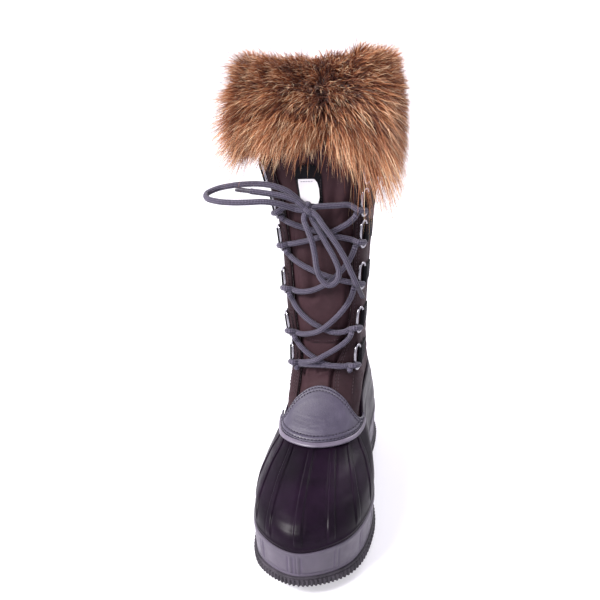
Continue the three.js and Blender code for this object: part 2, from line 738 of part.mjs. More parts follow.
addPart('lace_top_medial', makeTopStrand(1), ...LACE);
addPart('lace_knot', makeKnot(), ...LACE);
addPart('lace_loop_left', makeCord(LOOP_LEFT), ...LACE);
addPart('lace_loop_down', makeCord(LOOP_DOWN), ...LACE);
addPart('lace_end_left', makeCord(END_LEFT), ...LACE);
addPart('lace_end_right', makeCord(END_RIGHT), ...LACE);
addPart('aglet_left', makeAglet(END_LEFT), 0x2a2530, 0.5);
addPart('aglet_right', makeAglet(END_RIGHT), 0x2a2530, 0.5);

export default boot;
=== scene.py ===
# Looks of the right snow boot, built round its CAD frame.
# Shapes are worked out in millimetres in the form's own axes: +Z up, toe towards -Y, medial side
# towards +X. ORIGIN moves them into the row frame, and every mesh is stored in metres.
import math

import bpy
import numpy as np
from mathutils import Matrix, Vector


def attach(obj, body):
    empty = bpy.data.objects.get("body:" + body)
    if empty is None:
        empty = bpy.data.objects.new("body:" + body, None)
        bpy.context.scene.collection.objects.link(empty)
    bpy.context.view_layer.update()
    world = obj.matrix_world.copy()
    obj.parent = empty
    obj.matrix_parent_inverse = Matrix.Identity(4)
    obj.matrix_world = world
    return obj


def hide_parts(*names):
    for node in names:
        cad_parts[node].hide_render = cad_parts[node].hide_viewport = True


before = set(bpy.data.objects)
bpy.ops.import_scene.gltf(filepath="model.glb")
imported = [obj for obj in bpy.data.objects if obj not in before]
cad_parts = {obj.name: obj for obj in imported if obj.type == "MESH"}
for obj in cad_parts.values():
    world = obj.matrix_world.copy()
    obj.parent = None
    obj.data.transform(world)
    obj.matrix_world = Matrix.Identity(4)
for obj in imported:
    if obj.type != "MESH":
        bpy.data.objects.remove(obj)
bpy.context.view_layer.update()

MM = 0.001
ORIGIN = np.array((1.1, -7.9, 0.0))
SIDES = {"lateral": -1, "medial": 1}

# ---------------------------------------------------------------- camera
camera_data = bpy.data.cameras.new("camera")
camera_data.lens = 36.0
camera_data.sensor_width = 36.0
camera = bpy.data.objects.new("camera", camera_data)
camera.location = (0.1001, -0.5099, 0.358)
camera.rotation_euler = [math.radians(a) for a in (72.356, 2.69, 12.161)]
bpy.context.scene.collection.objects.link(camera)
bpy.context.scene.camera = camera

# ---------------------------------------------------------------- the form
TOE_ROUND = 0.71
HEEL_ROUND = 0.74
HEM_LEVEL = 12.0
COLUMNS = (
    "toeX toeY toeZ ballY ballZ ballLat ballMed skew waistY waistZ "
    "waistLat waistMed heelY heelZ heelLat heelMed backY backZ"
).split()
SECTIONS = np.array([
    [2, -142, 19, -66, 12, -46.5, 51.5, 0, 18, 14, -39.5, 38, 106, 14, -36, 37, 140, 15],
    [2, -141, 39, -64, 36, -47.5, 53, 0, 18, 38, -41, 39.5, 106, 42, -37.5, 38, 141, 43],
    [2, -133, 55, -50, 55, -47, 52, 0, 20, 58, -40, 40, 106, 62, -37.5, 37.5, 141.5, 63],
    [2, -102, 68, -28, 67, -42, 45.5, 1, 22, 76, -38, 38.5, 104, 80, -36.5, 35.5, 138.5, 80],
    [1, -53, 79, -17, 80, -34.5, 37.5, 3, 26, 93, -35, 35.5, 100, 95, -34.5, 33, 133.5, 96],
    [0, -4, 112, 8, 112, -30, 32, 2, 44, 113, -33.5, 34, 96, 114, -31.5, 31, 125.5, 115],
    [1, 2, 140, 14, 140, -27.5, 31.5, 0, 50, 140, -31.5, 34, 95, 140, -30.5, 30.5, 121, 140],
    [2, 4, 175, 16, 175, -31.5, 34, 0, 54, 175, -34.5, 35.5, 96, 175, -31, 32, 122, 175],
    [2, 5, 215, 18, 215, -33, 36.5, 0, 56, 215, -36, 38.5, 98, 215, -33, 35, 126, 215],
    [1, 5, 250, 18, 250, -34.5, 38.5, 0, 58, 250, -38.5, 41.5, 100, 250, -36, 38.5, 129.5, 250],
    [0, 3, 285, 16, 285, -39, 41, 0, 60, 285, -43.5, 45.5, 102, 285, -40, 41.5, 132.5, 285],
    [-1, 0, 320, 14, 320, -47.5, 45.5, 0, 60, 320, -51, 50, 104, 320, -45, 45, 136, 320],
    [-3, -4, 385, 12, 385, -53, 50, 0, 60, 385, -57, 55, 106, 385, -50, 49, 140, 385],
], float)


def unit(v):
    return v / np.maximum(np.linalg.norm(v, axis=-1, keepdims=True), 1e-9)


def smooth(low, high, value):
    t = np.clip((np.asarray(value, float) - low) / (high - low), 0, 1)
    return t * t * (3 - 2 * t)


def bell(distance, width):
    return np.exp(-((np.asarray(distance) / width) ** 2))


def columns_at(level):
    last = len(SECTIONS) - 1
    i = np.clip(np.floor(level), 0, last - 1).astype(int)
    t = (level - i)[..., None]
    a, b, c, d = (SECTIONS[np.clip(i + k, 0, last)] for k in (-1, 0, 1, 2))
    m1, m2 = (c - a) / 2, (d - b) / 2
    return b + m1 * t + (3 * (c - b) - 2 * m1 - m2) * t**2 + (2 * (b - c) + m1 + m2) * t**3


def outline_at(level):
    s = columns_at(level)
    v = {name: s[..., k] for k, name in enumerate(COLUMNS)}

    def side(ball, waist, heel, skew):
        y = v["ballY"] + skew
        toe = (
            v["toeX"] + TOE_ROUND * (ball - v["toeX"]),
            y + TOE_ROUND * (v["toeY"] - y),
            v["ballZ"] + TOE_ROUND * (v["toeZ"] - v["ballZ"]),
        )
        back = (
            HEEL_ROUND * heel,
            v["heelY"] + HEEL_ROUND * (v["backY"] - v["heelY"]),
            v["heelZ"] + HEEL_ROUND * (v["backZ"] - v["heelZ"]),
        )
        rows = [toe, (ball, y, v["ballZ"]), (waist, v["waistY"], v["waistZ"]),
                (heel, v["heelY"], v["heelZ"]), back]
        return [np.stack(row, -1) for row in rows]

    toe = np.stack([v["toeX"], v["toeY"], v["toeZ"]], -1)
    back = np.stack([0 * v["backY"], v["backY"], v["backZ"]], -1)
    medial = side(v["ballMed"], v["waistMed"], v["heelMed"], v["skew"])
    lateral = side(v["ballLat"], v["waistLat"], v["heelLat"], -v["skew"])
    return np.stack([toe, *medial, back, *lateral[::-1]], -2)


def centripetal(x0, x1, x2, x3, w):
    d0, d1, d2 = (
        np.maximum(((b - a) ** 2).sum(-1) ** 0.25, 1e-4)[:, None]
        for a, b in ((x0, x1), (x1, x2), (x2, x3))
    )
    t1 = ((x1 - x0) / d0 - (x2 - x0) / (d0 + d1) + (x2 - x1) / d1) * d1
    t2 = ((x2 - x1) / d1 - (x3 - x1) / (d1 + d2) + (x3 - x2) / d2) * d1
    return x1 + t1 * w + (3 * (x2 - x1) - 2 * t1 - t2) * w**2 + (2 * (x1 - x2) + t1 + t2) * w**3


def form_point(turn, level):
    turn, level = np.broadcast_arrays(np.asarray(turn, float), np.asarray(level, float))
    shape = turn.shape
    turn = turn.ravel() % 1
    level = np.clip(level.ravel(), 0, HEM_LEVEL)
    out = np.empty((turn.size, 3))
    step = 40000
    for start in range(0, turn.size, step):
        part = slice(start, start + step)
        points = outline_at(level[part])
        at = turn[part] * 12
        i = np.floor(at).astype(int)
        rows = np.arange(len(i))
        four = [points[rows, (i + k) % 12] for k in (-1, 0, 1, 2)]
        out[part] = centripetal(*four, (at - i)[:, None])
    return out.reshape(shape + (3,))


def form_frame(turn, level):
    """Point, outward normal, direction round the boot and direction up it."""
    turn, level = np.broadcast_arrays(np.asarray(turn, float), np.asarray(level, float))
    low = np.clip(level - 0.02, 0, HEM_LEVEL)
    high = np.clip(level + 0.02, 0, HEM_LEVEL)
    round_ = unit(form_point(turn + 0.004, level) - form_point(turn - 0.004, level))
    up = unit(form_point(turn, high) - form_point(turn, low))
    return form_point(turn, level), unit(np.cross(round_, up)), round_, up


def on_form(turn, level, offset):
    point, normal, _, _ = form_frame(turn, level)
    return point + normal * np.asarray(offset, float)[..., None]


LEVEL_STEPS = np.linspace(0, HEM_LEVEL, 601)


def level_from(turn, level, distance):
    """The level that lies a distance up (or, if negative, down) the form from another level."""
    turn, level, distance = np.broadcast_arrays(*(np.asarray(a, float) for a in (turn, level, distance)))
    out = np.empty(turn.shape)
    known = {}
    for k in np.ndindex(turn.shape):
        key = float(turn[k])
        if key not in known:
            p = form_point(key, LEVEL_STEPS)
            known[key] = distance_along(p)
        reach = known[key]
        out[k] = np.interp(np.interp(level[k], LEVEL_STEPS, reach) + distance[k], reach, LEVEL_STEPS)
    return out


WAIST_HEIGHTS = columns_at(LEVEL_STEPS)[:, COLUMNS.index("waistZ")]


def level_at(height):
    return np.interp(height, WAIST_HEIGHTS, LEVEL_STEPS)


def distance_along(line, axis=0):
    """Distance from the first point of a line, or along one axis of a grid of points."""
    steps = np.linalg.norm(np.diff(line, axis=axis), axis=-1)
    start = np.zeros_like(np.take(steps, [0], axis=axis))
    return np.concatenate([start, np.cumsum(steps, axis=axis)], axis=axis)


def noise1(x, seed, scale=1.0):
    """Smooth seeded noise along a line, from -1 to 1."""
    rng = np.random.default_rng(seed)
    total = 0
    for k in range(4):
        f = scale * 1.7**k
        total = total + np.sin(np.asarray(x) * f + rng.uniform(0, 6.28)) / 1.6**k
    return total / 2.2


def noise2(u, v, seed, scale=1.0):
    """Smooth seeded noise over a surface, from about -1 to 1."""
    rng = np.random.default_rng(seed)
    total = 0
    for _ in range(10):
        angle = rng.uniform(0, 6.28)
        f = scale * rng.uniform(0.6, 1.8)
        total = total + np.sin(f * (u * math.cos(angle) + v * math.sin(angle)) + rng.uniform(0, 6.28))
    return total / 4


# ---------------------------------------------------------------- mesh building
class Build:
    """Collects grids and tubes in millimetres and makes them one object."""

    def __init__(self):
        self.points, self.faces, self.marks, self.uvs, self.tones = [], [], [], [], []
        self.wraps = []
        self.count = 0

    def add(self, points, faces, uv=None, mark=0, tone=None, wraps=False):
        points = np.asarray(points, float).reshape(-1, 3)
        n = len(points)
        self.points.append(points)
        for block in faces if isinstance(faces, list) else [faces]:
            self.faces.append(np.asarray(block, int) + self.count)
            self.marks.append(np.full(len(block), mark))
            self.wraps.append(wraps and np.shape(block)[1] == 4)
        self.uvs.append(np.zeros((n, 2)) if uv is None else np.asarray(uv, float).reshape(-1, 2))
        tone = 0.0 if tone is None else tone
        self.tones.append(np.broadcast_to(np.asarray(tone, float).ravel() if np.ndim(tone) else tone, (n,)))
        self.count += n

    def grid(self, p, around=False, flip=False, mark=0, tone=None):
        """A sheet through p[i, j]; faces look along d/di x d/dj unless flipped."""
        nu, nv = p.shape[:2]
        i = np.arange(nu if around else nu - 1)[:, None]
        j = np.arange(nv - 1)[None, :]
        a, b = i * nv + j, ((i + 1) % nu) * nv + j
        quads = np.stack([a, b, b + 1, a + 1], -1).reshape(-1, 4)
        u = distance_along(p[:, nv // 2])
        v = distance_along(p[nu // 2])
        uv = np.stack(np.meshgrid(u, v, indexing="ij"), -1)
        self.add(p, quads[:, ::-1] if flip else quads, uv, mark, tone)

    def wall(self, outer, inner, mark=0, inner_mark=None, tone=None):
        """A closed wall between two sheets of the same size."""
        self.grid(outer, False, False, mark, tone)
        self.grid(inner, False, True, mark if inner_mark is None else inner_mark, tone)
        edges = [(outer[:, -1], inner[:, -1], False), (outer[:, 0], inner[:, 0], True),
                 (outer[-1], inner[-1], True), (outer[0], inner[0], False)]
        for a, b, flip in edges:
            self.grid(np.stack([a, b], 1), False, flip, mark)

    def tube(self, centre, radius, sides, mark=0, closed=False, relief=None):
        """A round tube along centre; relief(s, angle) adds to its radius."""
        centre = np.asarray(centre, float)
        n1, n2 = frames_along(centre, closed)
        s = distance_along(centre)
        angle = np.arange(sides) * 2 * math.pi / sides
        r = np.broadcast_to(np.asarray(radius, float), (len(centre),))[:, None] + 0 * angle[None]
        if relief is not None:
            r = r + relief(s[:, None], angle[None])
        ring = (n1[:, None] * np.cos(angle)[None, :, None] + n2[:, None] * np.sin(angle)[None, :, None])
        p = centre[:, None] + ring * r[..., None]
        uv = np.stack(np.broadcast_arrays(s[:, None], angle[None] * 1.0), -1)
        n = len(centre)
        i = np.arange(n if closed else n - 1)[:, None]
        j = np.arange(sides)[None]
        a, b = i * sides + j, ((i + 1) % n) * sides + j
        c, d = ((i + 1) % n) * sides + (j + 1) % sides, i * sides + (j + 1) % sides
        faces = [np.stack([a, d, c, b], -1).reshape(-1, 4)]
        if not closed:
            ends = np.arange(1, sides - 1)
            zero = np.zeros_like(ends)
            faces.append(np.stack([zero, ends + 1, ends], -1))
            faces.append(np.stack([zero, ends, ends + 1], -1) + (n - 1) * sides)
        self.add(p, faces, uv, mark, wraps=True)

    def make(self, name, materials, slot, replaces=(), sharp=None):
        mesh = bpy.data.meshes.new(name)
        points = np.concatenate(self.points) + ORIGIN
        counts = np.concatenate([np.full(len(f), f.shape[1]) for f in self.faces])
        loops = np.concatenate([f.ravel() for f in self.faces])
        starts = np.concatenate([[0], np.cumsum(counts)[:-1]])
        mesh.vertices.add(len(points))
        mesh.vertices.foreach_set("co", (points * MM).astype(np.float32).ravel())
        mesh.loops.add(len(loops))
        mesh.loops.foreach_set("vertex_index", loops.astype(np.int32))
        mesh.polygons.add(len(counts))
        mesh.polygons.foreach_set("loop_start", starts.astype(np.int32))
        mesh.polygons.foreach_set("material_index", np.concatenate(self.marks).astype(np.int32))
        mesh.update(calc_edges=True)
        layer = mesh.uv_layers.new(name="surface")
        uv = np.concatenate(self.uvs)[loops]
        start = 0
        for block, wraps in zip(self.faces, self.wraps):
            part = uv[start : start + block.size]
            start += block.size
            if wraps:
                # A face that closes a tube runs on past a whole turn instead of back to zero.
                angle = part[:, 1].reshape(block.shape)
                closing = np.ptp(angle, axis=1, keepdims=True) > math.pi
                part[:, 1] = np.where(closing & (angle < math.pi), angle + 2 * math.pi, angle).ravel()
        layer.data.foreach_set("uv", uv.astype(np.float32).ravel())
        tone = mesh.attributes.new("tone", "FLOAT", "POINT")
        tone.data.foreach_set("value", np.concatenate(self.tones).astype(np.float32))
        for material in materials if isinstance(materials, (list, tuple)) else [materials]:
            mesh.materials.append(material)
        mesh.shade_smooth()
        if sharp is not None:
            mesh.set_sharp_from_angle(angle=math.radians(sharp))
        obj = bpy.data.objects.new(name, mesh)
        bpy.context.scene.collection.objects.link(obj)
        if slot is not None:
            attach(obj, "root")
        if replaces:
            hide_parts(*replaces)
        return obj


def frames_along(centre, closed=False):
    """Two steady normals along a line of points."""
    if closed:
        tangent = unit(np.roll(centre, -1, 0) - np.roll(centre, 1, 0))
    else:
        tangent = unit(np.gradient(centre, axis=0))
    first = np.cross(tangent[0], (0.31, 0.17, 0.93))
    n1 = np.empty_like(centre)
    n1[0] = unit(first)
    for k in range(1, len(centre)):
        v = n1[k - 1] - tangent[k] * (n1[k - 1] @ tangent[k])
        n1[k] = v / max(np.linalg.norm(v), 1e-9)
    return n1, np.cross(tangent, n1)


def curve_through(route, step):
    """Evenly spaced points on a smooth open curve through a route."""
    p = np.asarray(route, float)
    full = np.concatenate([[2 * p[0] - p[1]], p, [2 * p[-1] - p[-2]]])
    w = np.linspace(0, 1, 24, endpoint=False)[:, None]
    parts = []
    for k in range(len(p) - 1):
        four = [np.repeat(full[k + m][None], len(w), 0) for m in range(4)]
        parts.append(centripetal(*four, w))
    fine = np.concatenate([*parts, p[-1:]])
    s = distance_along(fine)
    count = max(4, int(round(s[-1] / step)) + 1)
    at = np.linspace(0, s[-1], count)
    return np.stack([np.interp(at, s, fine[:, k]) for k in range(3)], -1)


# ---------------------------------------------------------------- materials
class Shader:
    """A principled material and short calls for the nodes that feed it."""

    def __init__(self, name, color, roughness, metallic=0.0, **constant):
        self.material = bpy.data.materials.new(name)
        self.material.use_nodes = True
        self.tree = self.material.node_tree
        self.main = self.tree.nodes["Principled BSDF"]
        self.set("Base Color", (*color, 1))
        self.set("Roughness", roughness)
        self.set("Metallic", metallic)
        for key, value in constant.items():
            self.set(key.replace("_", " "), value)
        self.place = self.node("ShaderNodeTexCoord").outputs["Object"]

    def set(self, socket, value):
        self.main.inputs[socket].default_value = value

    def node(self, kind, **inputs):
        n = self.tree.nodes.new(kind)
        for key, value in inputs.items():
            self.feed(n.inputs[key.replace("_", " ")], value)
        return n

    def feed(self, socket, value):
        if isinstance(value, bpy.types.NodeSocket):
            self.tree.links.new(value, socket)
        else:
            socket.default_value = value

    def attribute(self):
        n = self.node("ShaderNodeAttribute")
        n.attribute_name = "tone"
        return n.outputs["Fac"]

    def surface(self):
        n = self.node("ShaderNodeUVMap")
        n.uv_map = "surface"
        return n.outputs["UV"]

    def noise(self, scale, detail=3.0, roughness=0.5, at=None, stretch=None):
        at = self.place if at is None else at
        if stretch is not None:
            at = self.node("ShaderNodeMapping", Vector=at, Scale=stretch).outputs["Vector"]
        n = self.node("ShaderNodeTexNoise", Vector=at, Scale=scale, Detail=detail, Roughness=roughness)
        return n.outputs["Fac"]

    def cells(self, scale):
        return self.node("ShaderNodeTexVoronoi", Vector=self.place, Scale=scale).outputs["Distance"]

    def wave(self, scale, at, direction):
        n = self.node("ShaderNodeTexWave", Vector=at, Scale=scale)
        n.bands_direction = direction
        return n.outputs["Fac"]

    def math(self, operation, a, b=0.0):
        n = self.node("ShaderNodeMath")
        n.operation = operation
        self.feed(n.inputs[0], a)
        self.feed(n.inputs[1], b)
        return n.outputs[0]

    def spread(self, value, low, high, to_low=0.0, to_high=1.0):
        n = self.node("ShaderNodeMapRange", Value=value)
        for key, number in zip(("From Min", "From Max", "To Min", "To Max"), (low, high, to_low, to_high)):
            n.inputs[key].default_value = number
        return n.outputs["Result"]

    def mix(self, factor, a, b):
        n = self.node("ShaderNodeMix")
        n.data_type = "RGBA"
        for socket, value in ((n.inputs[0], factor), (n.inputs[6], a), (n.inputs[7], b)):
            value = (*value, 1) if isinstance(value, tuple) and len(value) == 3 else value
            self.feed(socket, value)
        return n.outputs[2]

    def color(self, value):
        self.feed(self.main.inputs["Base Color"], value)

    def roughness(self, value):
        self.feed(self.main.inputs["Roughness"], value)

    def bump(self, height, depth, strength=1.0):
        """Relief of a height from 0 to 1, with its depth in metres, added to any earlier relief."""
        n = self.node("ShaderNodeBump", Height=height, Distance=depth, Strength=strength)
        before = self.main.inputs["Normal"]
        if before.is_linked:
            self.tree.links.new(before.links[0].from_socket, n.inputs["Normal"])
        self.tree.links.new(n.outputs["Normal"], before)


def plum_rubber():
    s = Shader("shell_rubber", (0.009, 0.004, 0.011), 0.34, Coat_Weight=0.04, Coat_Roughness=0.3)
    s.set("Specular IOR Level", 0.07)
    cloud = s.noise(28, 4, 0.55)
    s.color(s.mix(s.spread(cloud, 0.35, 0.7), (0.004, 0.0017, 0.005), (0.011, 0.0045, 0.013)))
    scuff = s.noise(90, 5, 0.65, stretch=(1.0, 0.25, 1.0))
    s.roughness(s.spread(scuff, 0.35, 0.75, 0.32, 0.52))
    s.bump(s.noise(900, 3, 0.6), 0.00004)
    s.bump(s.noise(45, 2), 0.0006, 0.5)
    return s.material


def foxing_rubber():
    s = Shader("midsole_grey", (0.2, 0.15, 0.25), 0.45, Coat_Weight=0.1, Coat_Roughness=0.35)
    cloud = s.noise(35, 4, 0.6)
    base = s.mix(s.spread(cloud, 0.3, 0.7), (0.052, 0.042, 0.064), (0.08, 0.066, 0.095))
    # The tone attribute mixes in the painted shade of the cup's grooves.
    s.color(s.mix(s.attribute(), base, (0.05, 0.035, 0.07)))
    s.roughness(s.spread(s.noise(120, 4, 0.6), 0.3, 0.7, 0.38, 0.58))
    s.bump(s.noise(1100, 2), 0.00004)
    return s.material


def outsole_rubber():
    s = Shader("outsole_rubber", (0.016, 0.012, 0.02), 0.7)
    s.color(s.mix(s.spread(s.noise(60, 5, 0.65), 0.35, 0.72), (0.012, 0.009, 0.015), (0.04, 0.032, 0.045)))
    s.bump(s.noise(700, 4, 0.6), 0.00008)
    return s.material


def leather():
    s = Shader("vamp_leather", (0.1, 0.08, 0.15), 0.46, Sheen_Weight=0.12, Sheen_Roughness=0.4)
    cloud = s.noise(40, 4, 0.6)
    base = s.mix(s.spread(cloud, 0.3, 0.7), (0.034, 0.028, 0.05), (0.056, 0.047, 0.078))
    # The tone attribute paints shade into the stitch channels and darkens the edges.
    channel_shade_edge_mix = s.mix(s.attribute(), base, (0.012, 0.009, 0.022))
    s.color(s.mix(s.spread(s.noise(420, 5, 0.7), 0.6, 0.75, 0, 0.35), channel_shade_edge_mix, (0.09, 0.078, 0.115)))
    s.roughness(s.spread(s.noise(160, 4, 0.6), 0.3, 0.7, 0.38, 0.56))
    grain = s.cells(1500)
    s.bump(s.spread(grain, 0.1, 0.7), 0.00006)
    s.bump(s.noise(2600, 3, 0.6), 0.00003)
    return s.material


def rim_rubber():
    s = Shader("rim_rubber", (0.27, 0.22, 0.33), 0.42, Coat_Weight=0.1, Coat_Roughness=0.3)
    s.color(s.mix(s.spread(s.noise(50, 4, 0.6), 0.35, 0.7), (0.088, 0.073, 0.106), (0.125, 0.106, 0.146)))
    s.bump(s.noise(900, 3, 0.6), 0.00004)
    return s.material


def upper_textile(name, dark, light):
    """Close brown nubuck-faced textile."""
    s = Shader(name, light, 0.78, Sheen_Weight=0.05, Sheen_Roughness=0.45)
    s.set("Specular IOR Level", 0.15)
    s.set("Sheen Tint", (0.5, 0.3, 0.38, 1))
    cloud = s.noise(30, 5, 0.6)
    base = s.mix(s.spread(cloud, 0.32, 0.68), dark, light)
    fine = s.noise(1400, 4, 0.7)
    speck = s.mix(s.spread(fine, 0.55, 0.75, 0, 0.4), base, tuple(1.7 * c for c in light))
    s.color(s.mix(s.attribute(), speck, (0.006, 0.003, 0.005)))
    at = s.surface()
    weave = s.math("MULTIPLY", s.wave(0.55, at, "X"), s.wave(0.55, at, "Y"))
    s.bump(weave, 0.00005, 0.6)
    s.bump(s.noise(1900, 3, 0.65), 0.00007)
    s.roughness(s.spread(s.noise(70, 4), 0.3, 0.7, 0.62, 0.84))
    return s.material


def fleece():
    s = Shader("fleece_lining", (0.05, 0.03, 0.03), 0.95, Sheen_Weight=0.5, Sheen_Roughness=0.6)
    curl = s.cells(420)
    # The hollows between curls are painted dark as shade, following the bump.
    s.color(s.mix(s.spread(curl, 0.1, 0.75), (0.085, 0.055, 0.05), (0.02, 0.012, 0.012)))
    s.bump(s.spread(curl, 0, 0.8, 1, 0), 0.0009)
    return s.material


def webbing():
    s = Shader("webbing_black", (0.006, 0.006, 0.008), 0.75)
    s.set("Specular IOR Level", 0.1)
    at = s.surface()
    rib = s.math("MULTIPLY", s.wave(0.3, at, "X"), s.wave(0.42, at, "Y"))
    # The low parts of the weave are painted darker as shade, following the bump.
    s.color(s.mix(s.spread(rib, 0.05, 0.7), (0.003, 0.003, 0.004), (0.016, 0.015, 0.02)))
    s.bump(rib, 0.00022)
    return s.material


def label_cloth():
    s = Shader("label_cloth", (0.78, 0.76, 0.79), 0.75)
    at = s.surface()
    rib = s.math("MULTIPLY", s.wave(0.7, at, "X"), s.wave(0.5, at, "Y"))
    # The low parts of the weave are painted darker as shade, following the bump.
    s.color(s.mix(s.spread(rib, 0.0, 0.6), (0.7, 0.68, 0.72), (0.86, 0.85, 0.87)))
    s.bump(rib, 0.00006)
    return s.material


def nickel():
    s = Shader("ring_metal", (0.3, 0.29, 0.32), 0.28, 1.0)
    s.roughness(s.spread(s.noise(500, 4, 0.7), 0.4, 0.75, 0.16, 0.38))
    s.bump(s.noise(600, 2), 0.00003)
    return s.material


def lace_cord():
    """Round braid: yarns wind both ways, drawn from the distance along (mm) and the angle round."""
    s = Shader("lace_cord", (0.12, 0.095, 0.17), 0.7, Sheen_Weight=0.12, Sheen_Roughness=0.4)
    s.set("Specular IOR Level", 0.25)
    split = s.node("ShaderNodeSeparateXYZ", Vector=s.surface())
    along = s.math("MULTIPLY", split.outputs[0], 2.6)
    round_ = s.math("MULTIPLY", split.outputs[1], 5.0)
    left = s.math("SINE", s.math("ADD", round_, along))
    right = s.math("SINE", s.math("SUBTRACT", round_, along))
    yarn = s.spread(s.math("MULTIPLY", left, right), -0.7, 0.7)
    fibre = s.noise(2300, 2, 0.6)
    lit = s.mix(s.spread(fibre, 0.35, 0.7), (0.07, 0.061, 0.094), (0.145, 0.128, 0.18))
    # The hollows between yarns are painted dark as shade.
    s.color(s.mix(yarn, (0.022, 0.018, 0.034), lit))
    s.bump(yarn, 0.0005)
    s.bump(fibre, 0.00006)
    return s.material


def thread(name, color):
    s = Shader(name, color, 0.6)
    s.color(s.mix(s.spread(s.noise(1800, 2), 0.35, 0.7), color, tuple(1.6 * c for c in color)))
    s.bump(s.noise(3600, 2), 0.00005)
    return s.material


def aglet_tube():
    s = Shader("aglet_plastic", (0.03, 0.025, 0.04), 0.35)
    s.color(s.mix(s.spread(s.noise(300, 3), 0.4, 0.7), (0.022, 0.018, 0.03), (0.05, 0.042, 0.06)))
    s.roughness(s.spread(s.noise(800, 3), 0.3, 0.7, 0.28, 0.5))
    s.bump(s.noise(900, 2), 0.00003)
    return s.material


def felt():
    s = Shader("insole_felt", (0.05, 0.04, 0.04), 0.95, Sheen_Weight=0.3)
    s.color(s.mix(s.spread(s.noise(900, 5, 0.7), 0.4, 0.65), (0.03, 0.024, 0.024), (0.085, 0.07, 0.07)))
    s.bump(s.noise(1300, 4, 0.7), 0.0003)
    return s.material


def fur(name, stops, roughness=0.55, glow=0.3):
    """Hair whose tone runs from the root, 0, to the tip, 1, shifted by the strand's own shade."""
    s = Shader(name, stops[0][1], roughness, Sheen_Weight=0.25, Sheen_Roughness=0.4)
    s.set("Specular IOR Level", 0.35)
    ramp = s.node("ShaderNodeValToRGB", Fac=s.attribute())
    while len(ramp.color_ramp.elements) < len(stops):
        ramp.color_ramp.elements.new(0.5)
    for element, (at, color) in zip(ramp.color_ramp.elements, stops):
        element.position = at
        element.color = (*color, 1)
    patch = s.spread(s.noise(130, 2), 0.35, 0.7, 0.0, 0.3)
    tinted = s.mix(patch, ramp.outputs["Color"], (0.13, 0.045, 0.025))
    s.color(tinted)
    through = s.node("ShaderNodeBsdfTranslucent", Color=tinted)
    both = s.node("ShaderNodeMixShader", Fac=glow)
    s.tree.links.new(s.main.outputs[0], both.inputs[1])
    s.tree.links.new(through.outputs[0], both.inputs[2])
    s.tree.links.new(both.outputs[0], s.tree.nodes["Material Output"].inputs["Surface"])
    return s.material


RUBBER = plum_rubber()
FOXING = foxing_rubber()
OUTSOLE = outsole_rubber()
LEATHER = leather()
RIM = rim_rubber()
SHAFT = upper_textile("shaft_textile", (0.014, 0.006, 0.008), (0.028, 0.0125, 0.016))
TONGUE = upper_textile("tongue_textile", (0.019, 0.008, 0.0105), (0.037, 0.0165, 0.021))
FLEECE = fleece()
WEBBING = webbing()
LABEL = label_cloth()
NICKEL = nickel()
LACE = lace_cord()
DARK_THREAD = thread("thread_dark", (0.012, 0.008, 0.02))
BROWN_THREAD = thread("thread_brown", (0.02, 0.009, 0.013))
PALE_THREAD = thread("thread_pale", (0.14, 0.11, 0.19))
AGLET = aglet_tube()
FELT = felt()
FUR = fur("faux_fur", [(0.0, (0.02, 0.005, 0.003)), (0.32, (0.075, 0.018, 0.008)),
                       (0.6, (0.24, 0.07, 0.026)), (0.84, (0.58, 0.25, 0.11)), (1.0, (0.93, 0.68, 0.44))],
          glow=0.24)
GUARD = fur("guard_hair", [(0.0, (0.02, 0.008, 0.006)), (0.5, (0.03, 0.014, 0.012)),
                           (1.0, (0.012, 0.008, 0.01))],
            0.4, 0.1)

# ---------------------------------------------------------------- lace
LACE_RADIUS = 2.5
AGLET_LENGTH = 13
CORD_STEP = 0.9
LOOP_LEFT = [
    (-13, -5, 285), (-21, -6, 292), (-33, -6, 297), (-46, -5, 299), (-59, -4, 299), (-72, -4, 298),
    (-84, -6, 296), (-91, -13, 293), (-88, -22, 290), (-77, -27, 288), (-64, -28, 287), (-50, -28, 287),
    (-37, -26, 287), (-25, -21, 284), (-15, -14, 279),
]
LOOP_DOWN = [
    (-7, -13, 268), (-4, -15, 261), (-1, -15, 252), (1, -14, 240), (2, -13, 228), (5, -12, 218),
    (12, -12, 212), (19, -12, 216), (21, -12, 225), (17, -12, 237), (11, -11, 248), (5, -10, 259),
    (0, -9, 267),
]
END_LEFT = [(-13, -15, 286), (-22, -18, 290), (-36, -20, 293), (-50, -20, 295)]
END_RIGHT = [(5, -13, 271), (10, -15, 264), (17, -15, 254), (25, -14, 240), (31, -12, 225), (36, -8, 211)]


def lay_cord(build, line, radius=LACE_RADIUS, sides=16):
    build.tube(line, radius, sides)


def free_cord(name, route, replaces):
    line = curve_through(route, CORD_STEP)
    build = Build()
    lay_cord(build, line)
    obj = build.make(name, LACE, "lace_cord", replaces)


def make_aglet(name, route, node):
    before, end = (np.array(p, float) for p in route[-2:])
    along = unit(end - before)
    start = end - along * 1.5
    line = start + along * np.linspace(0, AGLET_LENGTH + 1.5, 24)[:, None]
    share = np.linspace(0, 1, 24)
    radius = 2.05 + 0.55 * (1 - smooth(0, 0.1, share)) - 0.25 * smooth(0.9, 1, share)
    build = Build()
    build.tube(line, radius, 20, relief=lambda s, a: -0.12 * bell(s - 4.5, 0.5) - 0.12 * bell(s - 6.2, 0.5))
    return build.make(name, AGLET, "aglet_plastic", [node], sharp=40)


aglets = {
    "left": make_aglet("lace_tip_left", END_LEFT, "aglet_left"),
    "right": make_aglet("lace_tip_right", END_RIGHT, "aglet_right"),
}
free_cord("bow_loop_left", LOOP_LEFT, ["lace_loop_left"])
free_cord("bow_loop_down", LOOP_DOWN, ["lace_loop_down"])
free_cord("bow_end_left", END_LEFT, ["lace_end_left"])
free_cord("bow_end_right", END_RIGHT, ["lace_end_right"])

